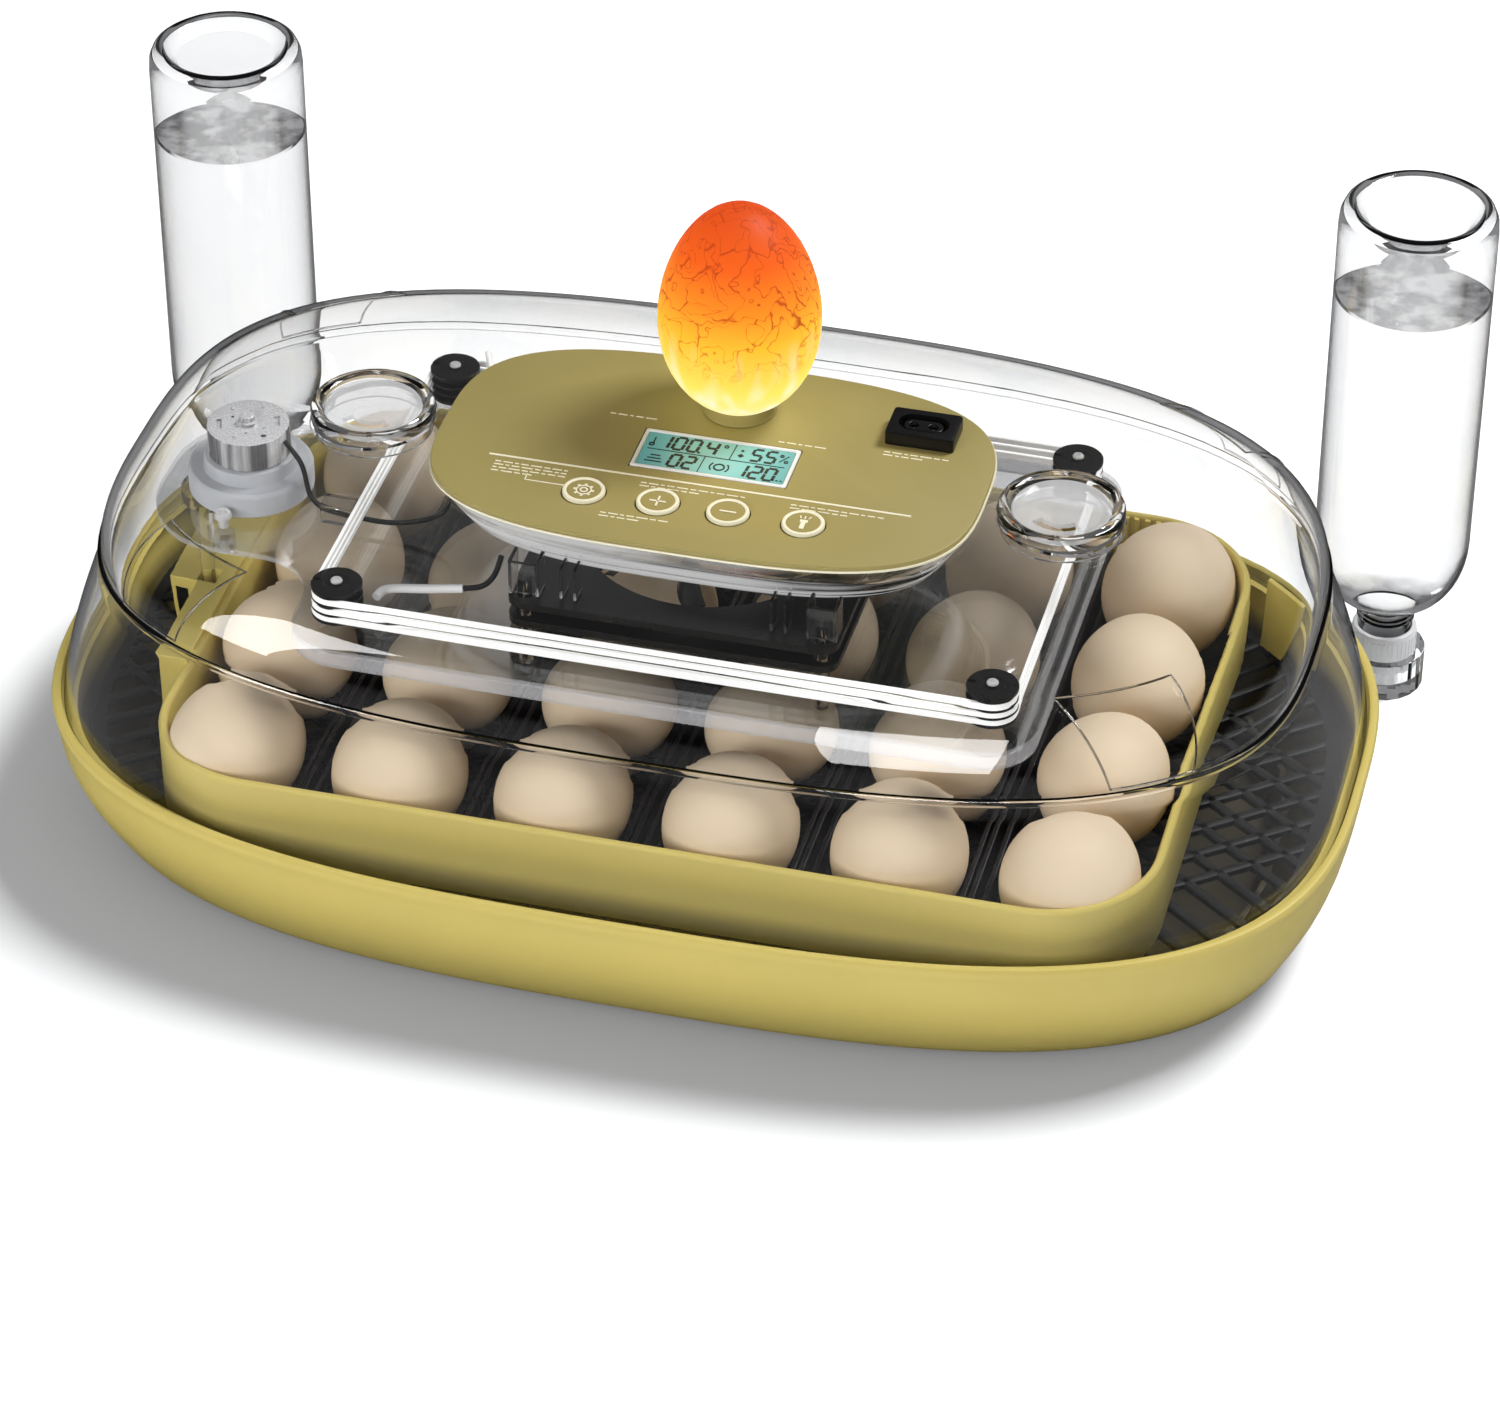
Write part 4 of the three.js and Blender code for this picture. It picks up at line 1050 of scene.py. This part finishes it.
DISPLAY_RINGS = ((-21.8, 2.6, 0.95, 0.5), (1.9, 6.9, 0.8, 0.45), (20.4, 6.2, 0.7, 0.35),
                 (22.3, 3.2, 0.7, 0.35), (2.4, -4.8, 1.9, 1.4))


def display():
    low, high, spot, hx = measures("lcd_bezel")
    hy, z = (high.y - low.y) / 2, high.z
    edge = 1.3
    profile = ((0, low.z), (0, z - 0.3), (0.3, z), (edge - 0.3, z), (edge, z - 0.3), (edge, low.z))
    rim = Shape().loft(rounded_rings(hx, hy, 0.8, profile, spot, 4), closed=True)
    piece("lcd_bezel_rim", rim, "white_plastic", "lid", "lcd_bezel")
    glass_top = span("lcd_screen")[1].z
    ink, top = Shape(), glass_top + 0.01
    for text, x, y, height in DISPLAY_TEXT:
        number(ink, text, spot.x + x, spot.y + y, height, top)
    for x, y, length, width, turn in DISPLAY_BARS:
        bar(ink, spot.x + x, spot.y + y, length, width, top, turn, FIGURE_THICK)
    for x, y, outer, inner in DISPLAY_RINGS:
        ring_mark(ink, spot.x + x, spot.y + y, outer, inner, top)
    x, y = spot.x + DISPLAY_RINGS[-1][0], spot.y + DISPLAY_RINGS[-1][1]
    for side in (0, 180):
        hook = arc(x, y, 3.3, side - 40, side + 40, 8) + arc(x, y, 2.8, side + 40, side - 40, 8)
        ink.slab(hook, top, top + FIGURE_THICK)
    piece("lcd_figures", ink, "ink_dark", "lid")


def power_inlet():
    low, high, spot, hx = measures("power_inlet")
    hy = (high.y - low.y) / 2
    base = PANEL.z + 0.3
    edge = ((0, base), (0, high.z - 0.7), (0.2, high.z - 0.2), (0.7, high.z))
    block = Shape().loft(rounded_rings(hx, hy, 1.2, edge, spot, 5))
    recess = rounded(8.2, 4.6, 4.55, spot.x, spot.y, 8)
    well = Shape().slab(recess, base + 0.6, high.z + 2)
    piece("power_inlet_block", cut("power_inlet_block", block, well), "black_plastic", "lid", "power_inlet")
    core = rounded(6.4, 3.0, 2.9, spot.x, spot.y, 8)
    socket = Shape().slab(core, base + 0.7, high.z - 0.9)
    holes = [plate_hole(spot + Vector((dx, 0, 0)), 1.6, base + 1, high.z + 1, 24) for dx in (-3.2, 3.2)]
    piece("power_inlet_core", cut("power_inlet_core", socket, *holes), "black_plastic", "lid", bevel=0.2)


def candler():
    low, high, spot, r = measures("candler_cup")
    cup = [(7.2, low.z)] + from_edge(r, low.z, (0, 0), (0.5, 0.8))
    cup += from_edge(r, high.z, (0.7, -0.8), (1.1, -0.2), (1.8, 0), (2.7, -0.5), (3.6, -2))
    cup += [(7.6, low.z + 1.2), (7.2, low.z)]
    piece("candler_cup_rim", Shape().lathe(cup, spot, 72), "panel_olive", "lid", "candler_cup")


# ---------------------------------------------------------------- plate, heater and fan
def plate_outline():
    """The plate's round-cornered rectangle with a lobe at the left end, joined by hollow curves."""
    x, y, corner, lobe, reach, hollow = PLATE_HIGH.x, PLATE_HIGH.y, 17.0, 37.0, PLATE_LOW.x, 20.0
    nose = 30.0
    arcs = ((x - corner, corner - y, corner, -90, 0), (x - corner, y - corner, corner, 0, 90),
            (corner - x, y - corner, corner, 90, 180), (-x - hollow, lobe + hollow, hollow, 0, -90),
            (reach + nose, lobe - nose, nose, 90, 180), (reach + nose, nose - lobe, nose, 180, 270),
            (-x - hollow, -lobe - hollow, hollow, 90, 0), (corner - x, corner - y, corner, 180, 270))
    return [point for turn in arcs for point in arc(*turn)]


POST = 48.5                 # the fan posts stand this far from the middle, both ways
CORNERS = (("front_left", -1, -1), ("front_right", 1, -1), ("rear_right", 1, 1), ("rear_left", -1, 1))


def baffle_plate():
    top = PLATE_HIGH.z
    low = top - 2.0
    crank = middle("turner_crank")
    shape = Shape().slab(plate_outline(), low, top)
    centre = Vector((0, 0))
    holes = [plate_hole(centre, 40, low - 1, top + 1, 80), plate_hole(crank, 4.2, low - 1, top + 1, 24)]
    plate = cut("baffle_sheet", shape, *holes)
    piece("baffle_sheet", plate, "baffle_clear", "lid", "baffle_plate")
    x, y, corner = PLATE_HIGH.x, PLATE_HIGH.y, 17.0
    path = arc(corner - x, corner - y, corner, 200, 270) + arc(x - corner, corner - y, corner, -90, 0)
    path += arc(x - corner, y - corner, corner, 0, 90) + arc(corner - x, y - corner, corner, 90, 160)
    lip = PLATE_LOW.z
    section = [(0, lip), (0, low - 0.05), (-1.4, low - 0.05), (-1.4, lip)]
    piece("baffle_lip", Shape().sweep(at(path, 0), section), "baffle_clear", "lid")
    bosses = Shape()
    screw = middle("motor_screw_front")
    for y in (screw.y, -screw.y):
        profile = [(3.6, low - 6), (3.6, low - 0.1), (1.6, low - 0.1), (1.6, low - 6), (3.6, low - 6)]
        bosses.lathe(profile, Vector((screw.x, y)), 24)
    piece("plate_bosses", bosses, "baffle_clear", "lid")


def fan_plate(node, opening):
    low, high = span(node)
    shape = Shape().slab(rounded(high.x, high.y, 6, steps=8), low.z, high.z)
    holes = [plate_hole(Vector((0, 0)), opening, low.z - 1, high.z + 1, 80)]
    for _, sx, sy in CORNERS:
        holes.append(plate_hole(Vector((sx, sy)) * POST, 2.8, low.z - 1, high.z + 1, 20))
    piece(f"{node}_ring", cut(f"{node}_ring", shape, *holes), "black_plastic", "lid", node, bevel=0.5)


def fan_posts():
    for corner, _, _ in CORNERS:
        node = f"fan_post_{corner}"
        low, high, spot, r = measures(node)
        profile = from_edge(r, low.z, (0.4, 0), (0, 0.5)) + from_edge(r, high.z, (0, -0.3), (0.2, 0))
        piece(f"{node}_rod", Shape().lathe(profile, spot, 28), "clear_plastic", "lid", node)


def housing_brackets():
    """Clear guides that hang from the control housing beside the fan."""
    shape = Shape()
    top = span("control_housing")[0].z + 2.5
    low = span("fan_upper_plate")[1].z + 0.35
    for sx in (-1, 1):
        for y in (-46.5, 46.5):
            for dx in (-4.4, 4.4):
                x = sx * POST + dx
                shape.block(x - 0.6, x + 0.6, y - 4, y + 4, low, top + 4)
            shape.block(sx * POST - 4.4, sx * POST + 4.4, y - 4.6, y - 3.5, low + 1, top + 4)
        for dx in (12.0, 16.5):
            x = sx * (POST - dx)
            shape.block(x - 0.5, x + 0.5, -49.5, -42, low, top + 3)
    piece("housing_brackets", shape, "clear_plastic", "lid", bevel=0.3)


BLADES = 7
BLADE_SECTION = ((-1, 0), (-0.5, 0.75), (0.5, 0.75), (1, 0), (0.5, 0.15), (-0.5, 0.15))


def blade_rings(start, root, tip, level, steps=7):
    """Sections of a fan blade from its root to its tip, swept back and flattening outwards."""
    rings = []
    for k in range(steps + 1):
        t = k / steps
        r, swing, pitch = root + (tip - root) * t, start + 0.35 * t, 0.75 - 0.3 * t
        half_chord = (7 + 2.2 * sin(pi * t)) / 2
        ahead = Vector((-sin(swing), cos(swing), 0))
        across = ahead * cos(pitch) + Vector((0, 0, sin(pitch)))
        lift = Vector((0, 0, cos(pitch))) - ahead * sin(pitch)
        centre = Vector((r * cos(swing), r * sin(swing), level))
        rings.append([centre + across * u * half_chord + lift * v for u, v in BLADE_SECTION])
    return rings


def fan_rotor():
    shape = Shape()
    low, high = span("fan_rotor")
    hub = [(13, low.z), (14, low.z + 1), (14, high.z - 1.6), (13.2, high.z - 0.4), (11.6, high.z)]
    shape.lathe(hub, count=48)
    tip, level = high.x - 1.2, (low.z + high.z) / 2 - 0.6
    for i in range(BLADES):
        shape.loft(blade_rings(2 * pi * i / BLADES, 13, tip, level))
    piece("fan_rotor_blades", shape, "black_plastic", "fan", "fan_rotor")


TURNS, WIRE_PITCH = 3, 2.9


def spools():
    for corner, _, _ in CORNERS:
        node = f"wire_spool_{corner}"
        low, high, spot, r = measures(node)
        core, flange = r - 1.9, 0.45
        profile = [(core, low.z)] + from_edge(r, low.z, (0.4, 0), (0, 0.3))
        levels = [low.z + 0.85 + WIRE_PITCH * i for i in range(TURNS + 1)]
        for z in levels:
            profile += [(r, z - flange + 0.3), (r, z + flange - 0.3)]
            profile += [(r - 0.2, z + flange), (core, z + flange + 0.1)]
            if z != levels[-1]:
                above = z + WIRE_PITCH - flange
                profile += [(core, above - 0.1), (r - 0.2, above)]
        profile = [(a, min(b, high.z - 1.2)) for a, b in profile]
        profile += [(core, high.z - 1.1)] + from_edge(r, high.z, (0, -1), (0, -0.3), (0.3, 0))
        profile += [(4.2, high.z), (3.9, high.z - 0.35), (3.2, high.z - 0.4)]
        notch = Shape()
        notch.block(spot.x - r - 1, spot.x - 5.4, spot.y - 0.7, spot.y + 0.7, high.z - 1.6, high.z + 1)
        reel = cut(f"{node}_reel", Shape().lathe(profile, spot, 48), notch)
        piece(f"{node}_reel", reel, "black_plastic", "lid", node)
        screw_head(f"spool_screw_{corner}")


def screw_head(node):
    """A pan-head screw with a cross recess."""
    low, high, spot, r = measures(node)
    base = max(low.z, high.z - 2.0)
    profile = [(r * 0.6, low.z), (r * 0.6, base)] if base > low.z + 0.5 else []
    profile += [(r, base), (r, base + (high.z - base) * 0.45), (r * 0.8, high.z - 0.12), (r * 0.45, high.z)]
    cross = [Shape().block(spot.x - a, spot.x + a, spot.y - b, spot.y + b, high.z - 0.45, high.z + 1)
             for a, b in ((r * 0.55, r * 0.13), (r * 0.13, r * 0.55))]
    head = cut(f"{node}_head", Shape().lathe(profile, spot, 28), *cross)
    piece(f"{node}_head", head, "bright_metal", "lid", node)


def heating_wire():
    high = span("heating_wire")[1]
    radius = half_width("wire_spool_front_left") - 1.5 + 0.65
    shape = Shape()
    outline = rounded(high.x - 0.65, high.y - 0.65, radius, steps=8)
    for turn in range(TURNS):
        z = span("wire_spool_front_left")[0].z + 2.3 + WIRE_PITCH * turn
        section = [(-0.55, z - 0.85), (-0.35, z - 1.0), (0.35, z - 1.0), (0.55, z - 0.85),
                   (0.55, z + 0.85), (0.35, z + 1.0), (-0.35, z + 1.0), (-0.55, z + 0.85)]
        shape.sweep(at(outline, 0), section, closed=True)
    piece("heating_bands", shape, "wire_white", "lid", "heating_wire")


# ---------------------------------------------------------------- turning motor and wiring
def motor():
    low, high, spot, r = measures("motor_can")
    top = high.z - 3.2

    def around(radius, angle):
        return spot + Vector((cos(angle), sin(angle), 0)) * radius

    can = from_edge(r, low.z, (0.3, 0), (0, 0.4)) + from_edge(r, top, (0, -0.8), (0.25, -0.25), (0.9, 0))
    can += [(3.3, top), (3.3, top + 1.0), (2.3, top + 1.2), (2.3, top + 2.8), (1.9, high.z), (1.0, high.z)]
    tools = []
    for i in range(6):
        a = radians(60 * i + 20)
        if i % 3 == 0:
            place = around(9.4, a)
            tools.append(bar(Shape(), place.x, place.y, 5.4, 1.7, top - 0.7, a + pi / 2, 3))
        else:
            tools.append(plate_hole(around(9.6, a), 0.9, top - 0.8, top + 2, 16))
            tools.append(plate_hole(around(6.2, a + 0.4), 0.55, top - 0.8, top + 2, 12))
    body = cut("motor_can_body", Shape().lathe(can, spot, 80), *tools)
    piece("motor_can_body", body, "motor_steel", "lid", "motor_can")
    for end in ("front", "rear"):
        screw_head(f"motor_screw_{end}")


def motor_collar():
    low, high, spot, r = measures("motor_collar")
    step = low.z + 8.4
    collar = from_edge(r, low.z, (0.6, 0), (0, 0.6))
    collar += from_edge(r, step, (0, -1.6), (0.3, -0.7), (1.2, 0), (5, 0), (5.3, 0.4))
    collar += from_edge(r, high.z, (5.5, -0.9), (5.8, -0.3), (6.4, 0))
    piece("motor_collar_ring", Shape().lathe(collar, spot, 80), "grey_plastic", "lid", "motor_collar")


def wiring():
    flex = [(-143.4, -3, 120.4), (-137, -5.6, 114), (-132.5, -10, 105), (-124, -12, 102.6)]
    flex += [(-104, -12, 101.8), (-88, -10, 107), (-84.5, -9, 120)]
    lead = [(-98, 74, 113.5), (-92, 60, 114), (-86, 50, 116), (-84, 44, 120)]
    sleeve = [(-96, -56, 104.2), (-93.5, -51, 104.4), (-82, -48, 104.5), (-70, -46, 105.5)]
    cable = [(-69.8, -46, 105.5), (-64, -44.5, 106.5), (-61, -41, 109), (-60, -36, 113.2)]
    runs = (("motor_flex", flex, 0.85, "cable_black", "motor_cable"),
            ("heater_lead_wire", lead, 1.05, "wire_white", "heater_lead"),
            ("probe_sleeve_white", sleeve, 1.5, "white_plastic", "probe_sleeve"),
            ("probe_lead", cable, 0.95, "cable_black", "probe_cable"))
    for name, path, radius, look, node in runs:
        piece(name, Shape().tube(curve_through(path), radius), look, "lid", node)


# ---------------------------------------------------------------- plain nodes that stay as they are
def dress_kept_nodes():
    looks = {
        "water_tray": "tray_shell", "water_port_left": "clear_plastic", "water_port_right": "clear_plastic",
        "lcd_screen": "display", "inlet_pin_left": "bright_metal", "inlet_pin_right": "bright_metal",
        "candler_lamp": "lamp_lens", "circuit_board": "board_green", "fan_motor": "black_plastic",
        "turner_crank": "clear_plastic", "cable_clip": "clear_plastic",
        "water_guard_left": "olive_shell", "water_guard_right": "olive_shell",
    }
    for node, look in looks.items():
        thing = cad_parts[node]
        thing.data.materials.clear()
        thing.data.materials.append(LOOKS[look])
        weld = thing.modifiers.new("joined corners", "WELD")
        weld.merge_threshold = 0.01 * MM
        rounded_edges(thing, 0.3, 40)


# ---------------------------------------------------------------- props: eggs
def egg_shape(x, y, z, wide, long, upright=False):
    """An egg with its blunt end towards -Y, or standing on its blunt end."""
    rings = []
    steps = 26
    for i in range(1, steps):
        a = pi * i / steps
        along = -cos(a) * long / 2
        taper = 1 - 0.10 * (along / (long / 2)) - 0.03
        r = sin(a) * wide / 2 * taper
        if upright:
            rings.append(circle(r, z + along, x, y, 56))
        else:
            rings.append([(x + px, y + along, z + py) for px, py, _ in circle(r, 0, 0, 0, 56)])
    return Shape().loft(rings)


def eggs():
    for row in range(EGG_ROWS):
        for column in range(EGG_COLUMNS):
            x = (column - (EGG_COLUMNS - 1) / 2) * EGG_WIDE
            y = (row - (EGG_ROWS - 1) / 2) * EGG_LONG
            size = 1 + 0.015 * sin(3.1 * column + 1.7 * row)
            lean = 0.12 * sin(2.3 * column + 4.1 * row)
            shape = egg_shape(0, 0, 0, 44.5 * size, 51 * size)
            turn = Matrix.Rotation(lean, 4, "Z") @ Matrix.Rotation(-0.1, 4, "X")
            shape.moved(Matrix.Translation((x, y, EGG_MIDDLE)) @ turn)
            prop(f"egg_{row}_{column}", shape, "eggshell", "turner")
    lamp = middle("candler_cup")
    big = egg_shape(lamp.x, lamp.y, EGG_REST + BIG_EGG / 2, 54, BIG_EGG, upright=True)
    prop("candled_egg", big, "candled", "lid")


# ---------------------------------------------------------------- studio
def area_light(name, place, target, width, depth, power):
    lamp = bpy.data.lights.new(name, "AREA")
    lamp.shape = "RECTANGLE"
    lamp.size, lamp.size_y = width, depth
    lamp.energy = power
    holder = bpy.data.objects.new(name, lamp)
    holder.location = place
    holder.rotation_euler = (Vector(target) - Vector(place)).to_track_quat("-Z", "Y").to_euler()
    bpy.context.scene.collection.objects.link(holder)
    return holder


def mirrored_ray(tree):
    """One for a ray that some glossy surface has thrown back on its way, nought for all others."""
    path = put(tree, "LightPath").outputs
    thrown = sums(tree, "GREATER_THAN", path["Glossy Depth"], 0.5)
    return sums(tree, "MULTIPLY", thrown, sums(tree, "SUBTRACT", 1.0, path["Is Diffuse Ray"]))


def followed_ray(tree):
    """One for a ray that comes to the eye straight or through clear parts."""
    path = put(tree, "LightPath").outputs
    return sums(tree, "MAXIMUM", path["Is Camera Ray"], path["Is Transmission Ray"])


def pale_floor():
    """A pale floor that reads just white in the light and far away, and dim in reflections.

    Clear walls take some light from what is behind them, so the floor glows a little more through each.
    """
    material, tree = new_tree("pale_floor")
    place = place_of(tree)
    mirrored = mirrored_ray(tree)
    cloud = noise(tree, place, 5.0, 3.0)
    colour = mixed(tree, cloud, (0.9, 0.905, 0.91, 1), (0.92, 0.925, 0.93, 1))
    colour = mixed(tree, mirrored, colour, (0.2, 0.2, 0.205, 1))
    matt = put(tree, "BsdfDiffuse", {"Color": colour, "Roughness": 0.6}).outputs[0]
    path = put(tree, "LightPath").outputs
    walls = sums(tree, "MINIMUM", path["Transmission Depth"], 4.0)
    through = sums(tree, "MULTIPLY", sums(tree, "MULTIPLY", walls, 0.045), path["Is Transmission Ray"])
    far = ranged(tree, vectors(tree, "LENGTH", place, output="Value"), 0.5, 2.6, 0.0, 0.9)
    far = sums(tree, "MULTIPLY", far, followed_ray(tree))
    unmirrored = sums(tree, "SUBTRACT", 1.0, mirrored)
    extra = sums(tree, "MULTIPLY", sums(tree, "ADD", through, far), unmirrored)
    own = sums(tree, "MULTIPLY", path["Is Camera Ray"], 0.15)
    glow = glowing(tree, (1, 1, 1, 1), sums(tree, "ADD", own, extra))
    finished(tree, put(tree, "AddShader", {0: matt, 1: glow}).outputs[0])
    return material


def receivers(lamp, state, *things):
    """Limits a lamp to the given things, or keeps its light off them."""
    lit = bpy.data.collections.new(lamp.name)
    lamp.light_linking.receiver_collection = lit
    for thing in things:
        lit.objects.link(thing)
    for entry in lit.collection_objects:
        entry.light_linking.link_state = state


def lamps(floor, cover):
    """A key behind on the right, a broad fill in front, a floor key and two reflections in the lid."""
    centre = (0, 0, 0.05)
    key = area_light("key", (1.0, 0.85, 1.75), centre, 0.7, 0.7, 38)
    receivers(key, "EXCLUDE", floor, cover)
    fill = area_light("front fill", (-0.5, -1.7, 0.8), centre, 1.6, 0.7, 24)
    receivers(fill, "EXCLUDE", floor)
    floor_key = area_light("floor key", (0.9, 0.72, 1.85), centre, 0.8, 0.8, 62)
    receivers(floor_key, "INCLUDE", floor)
    for lamp in (fill, floor_key):
        lamp.visible_glossy = False
        lamp.visible_transmission = False
    left, right = (-0.11, -0.105, 0.113), (0.085, -0.109, 0.116)      # where they show on the lid
    for box in (area_light("left softbox", (-1.057, -0.9, 0.8), left, 0.45, 1.35, 28),
                area_light("front softbox", (0.212, -1.315, 0.816), right, 0.55, 1.35, 32)):
        box.visible_diffuse = False
        box.visible_transmission = False
        receivers(box, "INCLUDE", cover)


def studio():
    reach, drop = 6.0, -0.0002
    mesh = bpy.data.meshes.new("floor")
    mesh.from_pydata(at(box_outline(-reach, reach, -reach, reach), drop), [], [(0, 1, 2, 3)])
    floor = bpy.data.objects.new("floor", mesh)
    bpy.context.scene.collection.objects.link(floor)
    floor.data.materials.append(pale_floor())
    lamps(floor, bpy.data.objects["dome_cover_shell"])
    world = bpy.data.worlds.new("studio")
    bpy.context.scene.world = world
    world.use_nodes = True
    tree = world.node_tree
    tree.nodes.clear()
    up = height_of(tree, put(tree, "TexCoord").outputs["Generated"])
    levels = [(0.0, 0.8), (0.49, 0.6), (0.5, 0.12), (0.6, 0.2), (0.72, 0.85), (1.0, 0.9)]
    stops = [(position, (level, level, level, 1)) for position, level in levels]
    sky = ramped(tree, ranged(tree, up, -1, 1, 0, 1), stops)
    soft, dim, white = (put(tree, "Background", {"Color": colour, "Strength": strength}).outputs[0]
                        for colour, strength in ((sky, 0.32), (sky, 0.12), ((1, 1, 1, 1), 1.0)))
    plain = blend(tree, followed_ray(tree), soft, white)
    finished(tree, blend(tree, mirrored_ray(tree), plain, dim), "OutputWorld")
    bpy.context.scene.view_settings.view_transform = "Standard"


def camera():
    """The photo's camera: direction and distance from a fit of the rim, lid crease, panel and bottles."""
    turn, height, distance = radians(14.70), radians(37.02), 1.81246
    back = Vector((sin(turn) * cos(height), -cos(turn) * cos(height), sin(height)))
    right = Vector((cos(turn), sin(turn), 0))
    up = back.cross(right)
    aim = right * 0.01180 + up * 0.01255 + Vector((0, 0, 0.02466))
    data = bpy.data.cameras.new("camera")
    data.lens = 131.387
    data.sensor_width = 36
    data.clip_end = 30
    holder = bpy.data.objects.new("camera", data)
    axes = Matrix((right, up, back)).transposed().to_4x4()
    holder.matrix_world = Matrix.Translation(aim + back * distance) @ axes
    bpy.context.scene.collection.objects.link(holder)
    bpy.context.scene.camera = holder


base_tub()
lattice_mat()
egg_frame()
divider_rails()
for side in ("left", "right"):
    bottle(side)
    vent(side)
dome_cover()
control_housing()
control_panel()
panel_print()
for name in BUTTONS:
    button(name)
display()
power_inlet()
candler()
baffle_plate()
fan_plate("fan_lower_plate", 44)
fan_plate("fan_upper_plate", 42)
for build in (fan_posts, housing_brackets, fan_rotor, spools, heating_wire, motor, motor_collar, wiring,
              dress_kept_nodes, eggs, studio, camera):
    build()

bpy.context.view_layer.update()
